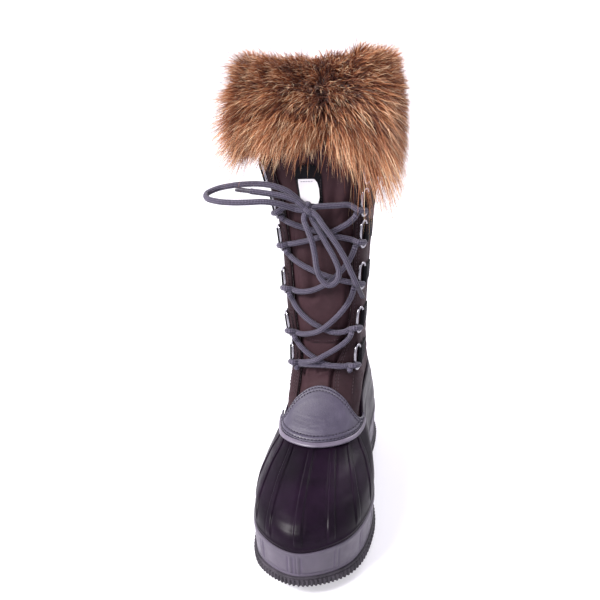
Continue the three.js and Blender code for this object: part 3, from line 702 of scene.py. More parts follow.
# Rings from the bottom pair up: height of the ring's centre on the lateral and the medial side.
RING_ROWS = [(137, 137), (168, 173), (209, 214), (249, 252), (279, 280), (308, 308)]
RING_TURN = 0.15
RING_WIRE = 1.2
RING_HALF_LENGTH = 11.6
RING_HALF_DEPTH = 5.5
RING_LIFT = 3.2
RING_SWING = 0.45
LACING_DROP = 8
LACING_TURN = 0.106
LACE_APART = 3
LACE_LIFT = 0.9
KNOT = np.array((-5.0, -10.0, 277.0))


def ring_place(side, row):
    """Centre of a ring and its directions: forward, up and out of its face."""
    height = RING_ROWS[row - 1][0 if side < 0 else 1]
    point, normal, round_, up = form_frame(side * RING_TURN, level_at(height))
    forward = -side * round_ * (1 - RING_SWING) + np.array((0, -1, 0)) * RING_SWING
    forward = unit(forward - up * (forward @ up))
    face = unit(np.cross(forward, up) * side)
    return point + normal * RING_LIFT, forward, up, face


def lacing_height(side, row):
    return RING_ROWS[row - 1][0 if side < 0 else 1] - LACING_DROP


def strand(from_side, from_row, to_side, to_row, sag):
    """Turn, height and lift along a strand that crosses the tongue."""
    share = np.linspace(0, 1, 15)
    low, high = lacing_height(from_side, from_row), lacing_height(to_side, to_row)
    apart = LACE_APART * np.sign(high - low) if high != low else 0
    turn = LACING_TURN * (from_side + (to_side - from_side) * share)
    height = low + apart + (high - low - 2 * apart) * share - sag * 4 * share * (1 - share)
    return turn, height, np.full(15, LACE_RADIUS + LACE_LIFT)


def strand_line(turn, height, lift):
    return on_form(turn, level_at(height), lift)


def through_ring(side, row):
    """The bend round the ring's front bar, from the strand outside it to the strand inside it."""
    centre, forward, up, face = ring_place(side, row)
    low = -LACING_DROP
    rows = [(10.5, 2.6, low - 2.6), (6.2, 4.3, low - 1.8), (1.6, 3.2, low - 0.6), (0.2, 0.4, low + 0.5),
            (1.7, -2.2, low + 1.4), (6.0, -2.3, low + 2.2), (10.5, -0.8, low + 2.8)]
    return [centre + forward * f + face * o + up * h for f, o, h in rows]


# Strands from the bottom up on the two halves of the lace: side and row at each end, sag, and how
# far the strand rises where it crosses its partner.
BAR = (-1, 1, 1, 1, -3)
HALF_FROM_LATERAL = [(-1, 1, 1, 2, 7), (1, 2, -1, 3, 16), (-1, 3, 1, 4, 16), (1, 4, -1, 5, 1)]
HALF_FROM_MEDIAL = [(1, 1, -1, 2, 10), (-1, 2, 1, 3, 16), (1, 3, -1, 4, 5), (-1, 4, 1, 5, 5)]
OVER = 3.1
UNDER = -1.6


def crossing_lift(mine, other, amount):
    """Raises one strand over, or presses it under, the strand that it crosses."""
    t1, h1, lift = mine
    t2, h2, _ = other
    gap = h1 - np.interp(t1, t2 if t2[0] < t2[-1] else t2[::-1], h2 if t2[0] < t2[-1] else h2[::-1])
    k = np.argmin(np.abs(gap[2:-2])) + 2
    distance = (t1 - t1[k]) / (2 * LACING_TURN) * 75
    return t1, h1, lift + amount * bell(distance, 9)


def lacing_lines():
    bar = strand(*BAR)
    pairs = []
    for lateral, medial in zip(HALF_FROM_LATERAL, HALF_FROM_MEDIAL):
        a, b = strand(*lateral), strand(*medial)
        rises_to_medial = lateral[0] < 0
        up, down = (OVER, UNDER) if rises_to_medial else (UNDER, OVER)
        pairs.append((crossing_lift(a, b, up), crossing_lift(b, a, down)))
    halves = []
    for which, rows in ((0, HALF_FROM_LATERAL), (1, HALF_FROM_MEDIAL)):
        start_side = rows[0][0]
        bar_line = strand_line(*bar)
        middle = len(bar_line) // 2
        first = bar_line[middle::-1] if start_side < 0 else bar_line[middle:]
        route = [*first[:-1]]
        for k, row in enumerate(rows):
            route += through_ring(row[0], row[1])
            route += [*strand_line(*pairs[k][which])[1:-1]]
        side = rows[-1][2]
        route += through_ring(side, 5)
        height = lacing_height(side, 5) + 2 * LACE_APART
        route.append(on_form(side * LACING_TURN * 0.75, level_at(height + 1), LACE_RADIUS + LACE_LIFT + 0.5))
        route.append(on_form(side * LACING_TURN * 0.45, level_at(height + 1.5),
                             LACE_RADIUS + LACE_LIFT + 1.8))
        route.append(KNOT + (side * 6.0, 3.0, 1 + side))
        route.append(KNOT + (side * 1.5, 0.5, side))
        halves.append(curve_through(route, CORD_STEP))
    return halves


laced = Build()
for line in lacing_lines():
    lay_cord(laced, line)
laced.make("lace_laced", LACE, "lace_cord",
           ["lace_crossing_1", "lace_crossing_2", "lace_crossing_3", "lace_crossing_4",
            "lace_top_lateral", "lace_top_medial"])


def knot_wrap(centre, axis, radius, squash, turns, start, travel):
    """A coil of the lace round an axis, a little flattened."""
    axis = unit(np.array(axis, float))
    a = unit(np.cross(axis, (0, -1, 0.2)))
    b = np.cross(axis, a)
    angle = start + np.linspace(0, turns * 2 * math.pi, 60)
    along = np.linspace(-travel / 2, travel / 2, 60)
    return (centre + a * (radius * np.cos(angle))[:, None] + b * (radius * squash * np.sin(angle))[:, None]
            + axis * along[:, None])


knot = Build()
lay_cord(knot, knot_wrap(KNOT + (0.5, 0.5, 0.5), (0.75, -0.1, 0.6), 5.0, 0.8, 1.1, 0.4, 4.6))
lay_cord(knot, knot_wrap(KNOT + (-2.2, 1.2, 2.2), (0.35, 0.1, -0.9), 4.0, 0.8, 0.9, 2.1, 3.0))
for route in (
    [(-13, -5, 285), (-9, -6, 281.5), (-4.5, -9, 277)],
    [(-15, -14, 279), (-10, -12.5, 277.6), (-4, -10, 276)],
    [(-7, -13, 268), (-7, -12.5, 272), (-5, -10, 277)],
    [(0, -9, 267), (-1.5, -9.5, 271), (-3, -9, 276)],
    [(-13, -15, 286), (-9.5, -14.5, 283), (-5, -11.5, 278)],
    [(5, -13, 271), (1.5, -12.5, 274.5), (-4, -10.5, 277)],
):
    lay_cord(knot, curve_through(route, CORD_STEP))
knot.make("lace_bow_knot", LACE, "lace_cord", ["lace_knot"])

# ---------------------------------------------------------------- rings and tabs
for name, side in SIDES.items():
    for row in range(1, 7):
        centre, forward, up, face = ring_place(side, row)
        angle = np.arange(64) * 2 * math.pi / 64
        squarish = lambda v: np.sign(v) * np.abs(v) ** 0.65
        line = (centre + forward * (RING_HALF_DEPTH * squarish(np.cos(angle)))[:, None]
                + up * (RING_HALF_LENGTH * squarish(np.sin(angle)))[:, None])
        dense = np.concatenate([line, line[:1]])
        s = distance_along(dense)
        at = np.linspace(0, s[-1], 73)[:-1]
        line = np.stack([np.interp(at, s, dense[:, k]) for k in range(3)], -1)
        for _ in range(3):
            line = 0.5 * line + 0.25 * (np.roll(line, 1, 0) + np.roll(line, -1, 0))
        ring = Build()
        ring.tube(line, RING_WIRE, 12, closed=True)
        ring.make(f"ring_{name}_{row}", NICKEL, "ring_metal", [f"lace_ring_{name}_{row}"])

TAB_HALF_HEIGHT = 8
TAB_START_TURN = 0.031
TAB_LENGTH_TURN = 0.045


def stitch_line(build, points, normals, pitch=3.4, length=2.3, radius=0.32, mark=0, sink=0.1):
    """A row of thread stitches laid along a line on a surface."""
    s = distance_along(points)
    for start in np.arange(pitch * 0.4, s[-1] - length, pitch):
        at = start + length * np.array((0.0, 0.12, 0.5, 0.88, 1.0))
        p = np.stack([np.interp(at, s, points[:, k]) for k in range(3)], -1)
        n = unit(np.stack([np.interp(at, s, normals[:, k]) for k in range(3)], -1))
        lift = radius * np.array((-1.0, 0.1, 0.55, 0.1, -1.0)) - sink
        build.tube(p + n * lift[:, None], radius * np.array((0.6, 1, 1.08, 1, 0.6)), 6, mark)


for name, side in SIDES.items():
    for row in range(1, 7):
        centre, forward, up, face = ring_place(side, row)
        level = level_at(RING_ROWS[row - 1][0 if side < 0 else 1])
        per_level = (np.interp(level + 0.1, LEVEL_STEPS, WAIST_HEIGHTS)
                     - np.interp(level - 0.1, LEVEL_STEPS, WAIST_HEIGHTS)) / 0.2
        across = np.linspace(-1, 1, 13)
        half = TAB_HALF_HEIGHT / per_level
        bar = centre - forward * RING_HALF_DEPTH
        wrap = RING_WIRE + 1.0
        back_turns = RING_TURN + TAB_START_TURN * np.array((0.55, 0.8, 1.0))
        along_tab = RING_TURN + TAB_START_TURN + TAB_LENGTH_TURN * np.linspace(0.25, 1, 6)
        tab_turns = np.concatenate([back_turns, along_tab])

        def layer(lift, round_angles):
            """Cross rows of the webbing: round the bar, then back along the quarter."""
            rows = []
            for angle in round_angles:
                offset = forward * math.cos(angle) * wrap + face * math.sin(angle) * wrap
                rows.append([bar + offset + up * a * TAB_HALF_HEIGHT for a in across])
            for k, turn in enumerate(tab_turns):
                swell = 0.9 * (1 - smooth(0, 3, k)) + 0.25
                rows.append(on_form(side * turn, level + across * half,
                                    lift + swell * (1 - 0.5 * np.abs(across) ** 3)))
            return np.array(rows)

        outer = layer(2.5, [0.0, 0.5, 1.0, 1.57, 2.0])
        inner = layer(0.75, [-0.2, -0.7, -1.1, -1.5, -2.0])
        tab = Build()
        tab.wall(*((outer, inner) if side > 0 else (outer[:, ::-1], inner[:, ::-1])))
        edge = 1.6 / TAB_HALF_HEIGHT
        rows_at = np.linspace(tab_turns[3], tab_turns[-1] - 0.003, 12)
        for end in (-1 + edge, 1 - edge):
            p, n, _, _ = form_frame(side * rows_at, level + end * half)
            stitch_line(tab, p + n * 2.65, n, 2.2, 1.6, 0.26, 1)
        for turn in (rows_at[0], rows_at[-1]):
            p, n, _, _ = form_frame(side * turn, level + np.linspace(-1 + edge, 1 - edge, 9) * half)
            stitch_line(tab, p + n * 2.65, n, 2.2, 1.6, 0.26, 1)
        tab.make(f"tab_{name}_{row}", [WEBBING, BROWN_THREAD], "webbing_black", [f"ring_tab_{name}_{row}"])

# ---------------------------------------------------------------- sole
LUG_DEPTH = 5.0
TOE_SPRING, TOE_SPRING_START, TOE_SPRING_END = 9.0, -88, -145
ARCH_RISE, ARCH_FRONT, ARCH_BACK = 4, -18, 74


def sole_rise(y):
    spring = np.maximum(0, (TOE_SPRING_START - y) / (TOE_SPRING_START - TOE_SPRING_END))
    arch = smooth(ARCH_FRONT, ARCH_FRONT + 30, y) * (1 - smooth(ARCH_BACK - 30, ARCH_BACK, y))
    return TOE_SPRING * spring**1.8 + ARCH_RISE * arch


def cup_foot(y):
    return 12.5 + 0.8 * sole_rise(y)


def sole_edge(count):
    turn = (np.arange(count) + 0.5) / count
    point, normal, _, _ = form_frame(turn, 0 * turn)
    flat = unit(normal * (1, 1, 0))
    s = distance_along(point)
    return turn, point, flat, s


def cap(build, loop, flip, mark=0):
    """Closes a loop of points with strips between its two halves."""
    n = len(loop)
    k = np.arange(n // 2 - 1)
    quads = np.stack([k, k + 1, n - 2 - k, n - 1 - k], -1)
    build.add(loop, quads[:, ::-1] if flip else quads, loop[:, :2], mark)


sole = Build()
turn, edge, flat, s = sole_edge(1040)
pitch = 4.5 - 1.3 * bell((np.minimum(turn, 1 - turn)), 0.09)
phase = np.concatenate([[0], np.cumsum(np.diff(s) / pitch[:-1])])
phase *= round(phase[-1]) / phase[-1]
saw = 1 - np.abs(2 * (phase % 1) - 1)
tooth = smooth(0.15, 0.75, saw)
rise = sole_rise(edge[:, 1])
foot = cup_foot(edge[:, 1])
profile = [
    (-6.5, rise + LUG_DEPTH, 0), (-3.4, rise + LUG_DEPTH - 0.2, 0), (-1.6, rise + 3.4, 0),
    (0.2, rise + 2.7, 0.7),
    (1.2, rise + 3.0, 1.0), (1.6, rise + 4.4, 1.0), (1.9, foot - 3.2, 1.0), (1.7, foot - 2.5, 0.9),
    (1.2, foot - 2.2, 0.35), (1.3, foot - 1.6, 0.1), (1.9, foot - 1.2, 0.0), (1.8, foot - 0.5, 0.0),
    (0.9, foot - 0.3, 0), (-4, foot - 0.35, 0),
]
rows = []
for offset, height, share in profile:
    p = edge + flat * (offset + 1.5 * share * tooth - 0.5 * share)[:, None]
    p[:, 2] = height
    rows.append(p)
sole.grid(np.stack(rows, 1), around=True)
cap(sole, rows[0], False)
cap(sole, rows[-1], True)

LUG_GROUPS = [(-128, -30, 7, 10), (-14, 60, 4, 9), (82, 126, 4, 10)]
LUG_BEND = 4
LUG_MARGIN = 4.5
LUG_SLOT = 3
# How far the walls of a lug lean out from its foot to its root.
LUG_INSET = 0.8


def sole_reach(y, side):
    keep = edge[np.sign(edge[:, 0]) == side]
    keep = keep[np.argsort(keep[:, 1])]
    return abs(np.interp(y, keep[:, 1], keep[:, 0]))


def lug(left, right, y, length):
    """One lug, drawn in at its foot, with a shallow groove across it."""
    slope = LUG_BEND / 50
    xs = np.linspace(left, right, 9)
    ys = np.array((-1.0, -0.35, -0.12, 0.12, 0.35, 1.0)) * length / 2
    gx, gy = np.meshgrid(xs, ys, indexing="ij")
    station = y + gy + slope * np.abs(gx)
    groove = 0.8 * (np.abs(gy) < 0.1 * length)
    bottom = np.stack([gx, station, sole_rise(station) + groove], -1)
    middle = bottom.reshape(-1, 3).mean(0)
    sole.grid(bottom, flip=True)
    ring = np.concatenate([bottom[:-1, 0], bottom[-1, :-1], bottom[:0:-1, -1], bottom[0, :0:-1]])
    out = unit((ring - middle) * (1, 1, 0))
    shaped = [ring, ring + out * 0.5 + (0, 0, 0.5), ring + out * LUG_INSET + (0, 0, LUG_DEPTH + 1)]
    sole.grid(np.stack(shaped, 1), around=True)


for first, last, count, length in LUG_GROUPS:
    for y in np.linspace(first, last, count):
        lateral, medial = -(sole_reach(y, -1) - LUG_MARGIN), sole_reach(y, 1) - LUG_MARGIN
        third = (medial - lateral) / 3
        cuts = [lateral, lateral + third, medial - third, medial]
        for i in range(3):
            left = cuts[i] + (LUG_SLOT / 2 if i else LUG_INSET)
            right = cuts[i + 1] - (LUG_SLOT / 2 if i < 2 else LUG_INSET)
            lug(left, right, y, length - 2 * LUG_INSET)
sole.make("outsole_lugged", OUTSOLE, "outsole_rubber", ["outsole"], sharp=35)

# Midsole cup: places of the moulded rib pairs round it, from the toe by the medial side.
cup = Build()
turn, edge, flat, s = sole_edge(1000)
RIB_SPACING = 31.0
rib_start = np.interp(0.0044, turn, s)
near = (s - rib_start + RIB_SPACING / 2) % RIB_SPACING - RIB_SPACING / 2
shares = np.array((0, 0.02, 0.05, 0.09, 0.14, 0.22, 0.34, 0.46, 0.58, 0.7, 0.8, 0.85, 0.89, 0.93, 0.97, 1.0))
outer = []
tones = []
for share in shares:
    p, n, _, _ = form_frame(turn, np.full(len(turn), 1 - share))
    p[:, 2] += share**2 * (cup_foot(p[:, 1]) - form_point(turn, 0 * turn)[:, 2])
    body = smooth(0.1, 0.2, share) * (1 - smooth(0.8, 0.86, share))
    rib = 0.5 * bell(near, 1.0) - 0.45 * (bell(near - 2.1, 0.8) + bell(near + 2.1, 0.8))
    lip = 0.5 * (1 - smooth(0.1, 0.16, share)) - 0.9 * (1 - smooth(0, 0.03, share))
    line = -0.45 * bell((share - 0.86) * 24, 0.7)
    outer.append(p + n * (0.25 + lip + line + body * rib)[:, None])
    # Tone paints shade into the grooves beside each rib pair and into the border line's groove.
    grooves = bell(near - 2.1, 0.8) + bell(near + 2.1, 0.8)
    tones.append(0.75 * body * grooves + 0.3 * bell((share - 0.86) * 24, 0.7))
cup.grid(np.stack(outer, 1), around=True, flip=True, tone=np.stack(tones, 1))
inside = [on_form(turn, np.full(len(turn), level), np.full(len(turn), -3.3)) for level in (1.0, 0.75, 0.5)]
cup.grid(np.stack([outer[0], *inside], 1), around=True)
cap(cup, inside[-1], True)
cap(cup, outer[-1], False)
cup.make("midsole_cup", FOXING, "midsole_grey", ["midsole"], sharp=40)

bed = Build()
turn = (np.arange(160) + 0.5) / 160
rings = []
for inset, lift in ((-7.6, 0.4), (-7.4, 3.6), (-8.0, 4.2), (-9.5, 4.4)):
    rings.append(on_form(turn, np.full(160, 0.5), np.full(160, inset)) + (0, 0, lift))
bed.grid(np.stack(rings, 1), around=True)
cap(bed, rings[0], False)
cap(bed, rings[-1], True)
bed.make("insole_bed", FELT, "insole_felt", ["insole"])

# ---------------------------------------------------------------- rubber shell
SHELL_WALL = 3.0
CUP_WALL = 3.3
# Pleats of the shell: place at its lip and at its foot, half width, and height.
PLEATS = np.array([
    (-0.152, -0.138, 0.0050, 0.7), (-0.108, -0.0935, 0.0050, 0.8), (-0.061, -0.0515, 0.0052, 0.85),
    (-0.0044, 0.0063, 0.0068, 0.95), (0.0523, 0.0560, 0.0054, 0.85), (0.094, 0.1098, 0.0050, 0.8),
    (0.140, 0.1560, 0.0050, 0.7),
])
# Soft dents in the rubber: turn, level, half length round, half height, depth.
DENTS = [
    (-0.045, 3.0, 0.012, 0.16, 0.5), (0.02, 1.95, 0.05, 0.07, 0.45), (-0.05, 2.2, 0.03, 0.08, 0.35),
    (0.09, 2.5, 0.03, 0.12, 0.4), (0.3, 2.6, 0.06, 0.3, 0.8), (-0.3, 2.7, 0.06, 0.3, 0.8),
    (0.24, 3.3, 0.03, 0.12, 0.6), (-0.24, 3.2, 0.03, 0.12, 0.6),
]
middle = (PLEATS[:, 0] + PLEATS[:, 1]) / 2
around_pleats = [m + np.array((-1.7, -1.35, -1.15, -1.0, -0.85, -0.6, 0, 0.6, 0.85, 1.0, 1.15, 1.35, 1.7)) * w
                 for m, w in zip(middle, PLEATS[:, 2])]
spare = np.arange(-0.5, 0.5, 1 / 260)
taken = np.concatenate(around_pleats)
spare = spare[np.min(np.abs(spare[:, None] - taken[None]), axis=1) > 0.0022]
base = np.sort(np.concatenate([taken, spare]))
levels = np.concatenate([[1.02, 1.05, 1.09, 1.12, 1.15, 1.18, 1.22], np.linspace(1.3, 3.86, 48),
                         [3.91, 3.95, 3.98, 4.0]])
low_map = np.concatenate([[-0.5, -0.25], PLEATS[:, 1], [0.25, 0.5]])
high_map = np.concatenate([[-0.5, -0.25], PLEATS[:, 0], [0.25, 0.5]])
mid_map = np.concatenate([[-0.5, -0.25], middle, [0.25, 0.5]])
turns = np.empty((len(base), len(levels)))
for j, level in enumerate(levels):
    share = (level - 1) / 3
    turns[:, j] = np.interp(base, mid_map, low_map * (1 - share) + high_map * share)
level_grid = np.broadcast_to(levels, turns.shape)
relief = np.zeros(turns.shape)
for m, (lip, toe, half, height) in zip(middle, PLEATS):
    d = np.abs(base - m) / half
    crown = (1 - smooth(0.8, 1.2, d)) - 0.3 * bell(d - 1.28, 0.16) - 0.12 * (1 - smooth(0, 0.7, d))
    relief += height * crown[:, None] * (smooth(1.2, 1.5, levels) * (1 - 0.4 * smooth(3.7, 4, levels)))[None]
relief += 0.55 * (bell((level_grid - 1.15) / 0.035, 1.0))
for at, level, long, tall, depth in DENTS:
    relief -= depth * bell((turns - at) / long, 1) * bell((level_grid - level) / tall, 1)
relief += 0.12 * noise2(turns * 120, level_grid * 9, 7, 0.8)
relief -= 1.0 * smooth(3.93, 4.0, level_grid) ** 2
shell = Build()
outer = on_form(turns, level_grid, relief)
shell.grid(outer, around=True)
lip_turns = turns[:, -1]
inner_levels = np.array((4.0, 3.99, 3.9, 3.5, 3.0, 2.5, 2.0, 1.4, 1.02))
inner_offsets = np.array((-2.2, -2.9, -3.0, -3.0, -3.0, -3.0, -3.0, -3.0, -6.65))
inner = on_form(lip_turns[:, None] + 0 * inner_levels, inner_levels[None] + 0 * lip_turns[:, None],
                inner_offsets[None] + 0 * lip_turns[:, None])
shell.grid(np.concatenate([outer[:, -1:], inner], 1), around=True)
tuck = on_form(turns[:, :1] + np.zeros(3), np.array((1.0, 0.7, 0.52)) + 0 * turns[:, :1],
               np.full((len(base), 3), -(CUP_WALL + 0.35)))
shell.grid(np.concatenate([tuck[:, ::-1], outer[:, :1]], 1), around=True)
shell.make("shell_pleated", RUBBER, "shell_rubber", ["rubber_shell"], sharp=60)

# ---------------------------------------------------------------- vamp overlay and rim
OVERLAY_TURN = 0.1875
OVERLAY_LIFT = 0.7
OVERLAY_WALL = 2.0


def overlay_top(turn):
    share = np.minimum(1, np.abs(turn) / OVERLAY_TURN)
    return 4.16 + 0.84 * (0.5 + 0.5 * np.cos(math.pi * share)) ** 0.9


u = np.linspace(-1, 1, 201)
u = np.sign(u) * (1 - (1 - np.abs(u)) ** 1.15)
column = u * OVERLAY_TURN
foot_level = level_from(column, 4.0, 1.2)
v = 0.5 - 0.5 * np.cos(np.linspace(0, math.pi, 61)) * (1 - 0.25 * np.sin(np.linspace(0, math.pi, 61)) ** 2)
v = (v - v[0]) / (v[-1] - v[0])
over_levels = foot_level[:, None] + (overlay_top(column) - foot_level)[:, None] * v[None]
over_turns = column[:, None] + 0 * over_levels
surface = form_point(over_turns, over_levels)
climb = distance_along(surface, 1)
from_foot, from_top = climb, climb[:, -1:] - climb
across = distance_along(surface)
from_side = np.minimum(across, across[-1:] - across)
centre_x = across - across[len(column) // 2]
edge_gap = np.minimum(np.minimum(from_foot, from_top), from_side)
ROW_BOTTOM = (2.0, 6.2)
ROW_TOP = (2.4, 5.6)
relief = np.zeros(over_turns.shape)
for gap, distance in ((g, from_foot) for g in ROW_BOTTOM):
    relief -= 0.32 * bell(distance - gap, 0.75)
for gap in ROW_TOP:
    relief -= 0.32 * bell(from_top - gap, 0.75)
relief += 0.3 * bell(from_foot - 4.1, 1.3) + 0.25 * bell(from_top - 4.0, 1.0)
relief += 0.35 * smooth(7, 14, edge_gap)
# Flexing creases: distance above the foot, place across, half length, depth.
CREASES = [
    (9.5, -1, 15, 0.16), (12.2, 2, 12, 0.14), (14.6, -3, 14, 0.20), (17.3, 1, 16, 0.22), (19.4, -2, 10, 0.14),
    (21.9, 3, 14, 0.20), (24.2, -1, 12, 0.16), (26.8, 0, 10, 0.13), (16.0, 14, 9, 0.14), (22.9, -14, 9, 0.13),
]
for height, place, half, depth in CREASES:
    drop = from_foot - height - 0.5 * np.sin(centre_x / 5 + height)
    fade = bell((centre_x - place) / half, 1)
    relief -= depth * fade * bell(drop, 0.5)
    relief += 0.6 * depth * fade * bell(drop - 1.1, 0.7)
relief += 0.10 * noise2(centre_x, from_foot, 11, 0.22)
half_wall = OVERLAY_WALL / 2
roundness = np.sqrt(np.clip(1 - (1 - np.minimum(1, edge_gap / 1.1)) ** 2, 0.0, 1))
mid = OVERLAY_LIFT + half_wall
over = Build()
# Tone: painted shade along the stitch channels, and darker within about a millimetre of the edges.
channel_shade_edge_tone = (0.6 * sum(bell(from_foot - g, 0.55) for g in ROW_BOTTOM)
         + 0.6 * sum(bell(from_top - g, 0.55) for g in ROW_TOP))
channel_shade_edge_tone = np.clip(channel_shade_edge_tone + 0.7 * (1 - smooth(0, 0.9, edge_gap)), 0, 1)
swell = half_wall * np.maximum(0.08, roundness)
over.wall(on_form(over_turns, over_levels, mid + swell + relief * smooth(0, 1.5, edge_gap)),
          on_form(over_turns, over_levels, mid - swell), tone=channel_shade_edge_tone)


def overlay_row(gap, top):
    """Points and normals of a stitch row a distance inside the overlay's foot or top edge."""
    keep = np.abs(column) < OVERLAY_TURN * (0.93 if top else 0.96)
    distance = from_top if top else from_foot
    points, normals = [], []
    for i in np.where(keep)[0]:
        order = np.argsort(distance[i])
        if distance[i].max() < gap + 1.5:
            continue
        level = np.interp(gap, distance[i][order], over_levels[i][order])
        p, n, _, _ = form_frame(column[i], level)
        points.append(p + n * (OVERLAY_LIFT + OVERLAY_WALL - 0.1))
        normals.append(n)
    return np.array(points), np.array(normals)


for gap in ROW_BOTTOM:
    stitch_line(over, *overlay_row(gap, False), 3.3, 2.0, 0.52, 1)
for gap in ROW_TOP:
    stitch_line(over, *overlay_row(gap, True), 3.0, 1.7, 0.5, 1)
over.make("vamp_leather_overlay", [LEATHER, DARK_THREAD], "vamp_leather", ["vamp_overlay"])

strip_column = np.linspace(-OVERLAY_TURN, OVERLAY_TURN, 181)
strip = Build()
angle = np.linspace(0, 2 * math.pi, 25)[:-1]
across_half, out_half = (4.2 + 0.85) / 2, (OVERLAY_WALL + 0.6) / 2
rings = []
for a in angle:
    reach = -4.2 + across_half + across_half * np.sign(math.cos(a)) * abs(math.cos(a)) ** 0.7
    lift = OVERLAY_LIFT + out_half + out_half * np.sign(math.sin(a)) * abs(math.sin(a)) ** 0.7
    line_levels = level_from(strip_column, 4.0, reach)
    rings.append(on_form(strip_column, line_levels, np.full(len(strip_column), lift)
                         + 0.12 * noise1(strip_column * 90, 3) * (lift > 2)))
strip.grid(np.stack([*rings, rings[0]], 1), flip=False)
for k in (0, -1):
    ends = np.stack([r[k] for r in rings])
    strip.add(ends, np.array([(0, j, j + 1) for j in range(1, len(ends) - 1)])[:, ::1 if k else -1])
strip.make("vamp_rim_strip", RIM, "rim_rubber", ["vamp_rim"])

# ---------------------------------------------------------------- shaft
SHAFT_WALL = 2.6
THROAT_HEAD = 0.107
THROAT_FOOT = {-1: 0.0875, 1: 0.0375}


def throat_turn(level, side):
    span = (5.1, 7.6) if side > 0 else (5.0, 8.0)
    return THROAT_FOOT[side] + (THROAT_HEAD - THROAT_FOOT[side]) * smooth(*span, level)


def shaft_outer(level):
    return -(SHELL_WALL + 0.6) * (1 - smooth(4.1, 4.6, level))


# Stitch rows of the quarters, in millimetres from the throat.
QUARTER_ROWS = (2.6, 5.0, 19.6)
# Folds of the shaft, each a trough with a low ridge along both sides: line through (turn, level) points, half
# width and depth in millimetres.
SHAFT_FOLDS = [
    ([(0.20, 5.75), (0.30, 5.45), (0.42, 5.35)], 2.6, 1.5),
    ([(0.14, 6.25), (0.24, 6.0), (0.36, 5.95)], 2.2, 1.1),
    ([(0.27, 6.5), (0.38, 6.55), (0.49, 6.3)], 2.4, 1.0),
    ([(0.80, 5.8), (0.70, 5.45), (0.58, 5.35)], 2.6, 1.5),
    ([(0.86, 6.3), (0.76, 6.05), (0.64, 6.0)], 2.2, 1.1),
    ([(0.73, 6.6), (0.62, 6.6), (0.52, 6.35)], 2.4, 1.0),
    ([(0.12, 5.6), (0.16, 5.2), (0.22, 4.9)], 1.8, 0.9),
    ([(0.10, 6.9), (0.15, 6.3), (0.17, 5.6)], 1.6, 0.7),
    ([(0.22, 8.8), (0.25, 8.0), (0.24, 7.2)], 4.0, 1.0),
    ([(0.78, 8.9), (0.75, 8.0), (0.76, 7.2)], 4.0, 1.0),
    ([(0.36, 9.6), (0.40, 8.6), (0.38, 7.4)], 5.0, 0.9),
    ([(0.64, 9.4), (0.60, 8.4), (0.62, 7.3)], 5.0, 0.9),
]


def fold_relief(turns, levels, folds, scale):
    """Troughs along lines in (turn, level), scaled to millimetres by the spans of one turn and level."""
    total = np.zeros(turns.shape)
    for points, width, depth in folds:
        line = curve_through([(t * scale[0], l * scale[1], 0) for t, l in points], 1.5)[:, :2]
        here = np.stack([turns * scale[0], levels * scale[1]], -1)
        near = np.full(turns.shape, 1e9)
        sign = np.ones(turns.shape)
        for p in line:
            delta = here - p
            d = (delta**2).sum(-1)
            closer = d < near
            near = np.where(closer, d, near)
            sign = np.where(closer, np.sign(delta[..., 1]), sign)
        distance = np.sqrt(near)
        total -= depth * bell(distance, width)
        total += 0.55 * depth * bell(distance - 1.9 * width, width)
    return total


span = np.linspace(0, 1, 171)
span = 0.5 - 0.5 * np.cos(span * math.pi) * (1 - 0.35 * np.sin(span * math.pi) ** 2)
shaft_levels = np.concatenate([np.linspace(3.5, 4.6, 12), np.linspace(4.7, 7.2, 44),
                               np.linspace(7.3, 12, 34)])
left_edge = throat_turn(shaft_levels, 1)
right_edge = 1 - throat_turn(shaft_levels, -1)
turns = left_edge[None] + (right_edge - left_edge)[None] * span[:, None]
level_grid = np.broadcast_to(shaft_levels, turns.shape)
surface = form_point(turns, level_grid)
along = distance_along(surface)
gap_medial, gap_lateral = along, along[-1:] - along
front_gap = np.minimum(gap_medial, gap_lateral)
back_gap = np.abs(turns - 0.5) * along[-1:].mean()
relief = fold_relief(turns, level_grid, SHAFT_FOLDS, (300.0, 28.0))
relief += 0.55 * (1 - smooth(21.5, 22.6, front_gap)) * smooth(4.6, 5.0, level_grid)
relief += 0.45 * (1 - smooth(9.5, 10.5, back_gap))
relief -= 0.25 * (bell(front_gap - 2.6, 0.7) + bell(front_gap - 19.6, 0.7) + bell(back_gap - 8.0, 0.7))
relief += 0.35 * noise2(turns * 300, level_grid * 28, 21, 0.07)
relief *= smooth(4.2, 4.8, level_grid)
half = SHAFT_WALL / 2
roundness = np.maximum(0.1, np.sqrt(np.clip(1 - (1 - np.minimum(1, front_gap / 1.2)) ** 2, 0, 1)))
mid = shaft_outer(level_grid) - half
shade = np.clip(0.55 * bell(front_gap - 2.6, 0.5) + 0.5 * bell(front_gap - 19.6, 0.5)
                + 0.75 * bell(front_gap - 22.3, 0.5) + 0.6 * (1 - smooth(0, 1.0, front_gap)), 0, 1)
lump = 0.35 * noise2(turns * 300, level_grid * 28, 5, 1.1)
quarters = Build()
quarters.wall(on_form(turns, level_grid, mid + half * roundness + relief),
              on_form(turns, level_grid, mid - half * roundness + lump * smooth(1, 3, front_gap)),
              inner_mark=1, tone=shade)
for gap, source in [(g, side_gap) for side_gap in (gap_medial, gap_lateral) for g in QUARTER_ROWS]:
    points, normals = [], []
    for j in range(len(shaft_levels)):
        if not 4.75 < shaft_levels[j] < 11.2:
            continue
        order = np.argsort(source[:, j])
        t = np.interp(gap, source[order, j], turns[order, j])
        p, n, _, _ = form_frame(t, shaft_levels[j])
        points.append(p + n * 0.6)
        normals.append(n)
    stitch_line(quarters, np.array(points), np.array(normals), 3.2, 2.1, 0.28, 2)
quarters.make("shaft_quarters", [SHAFT, FLEECE, BROWN_THREAD], "shaft_fabric", ["shaft"])

# ---------------------------------------------------------------- tongue
TONGUE_TUCK = 0.022


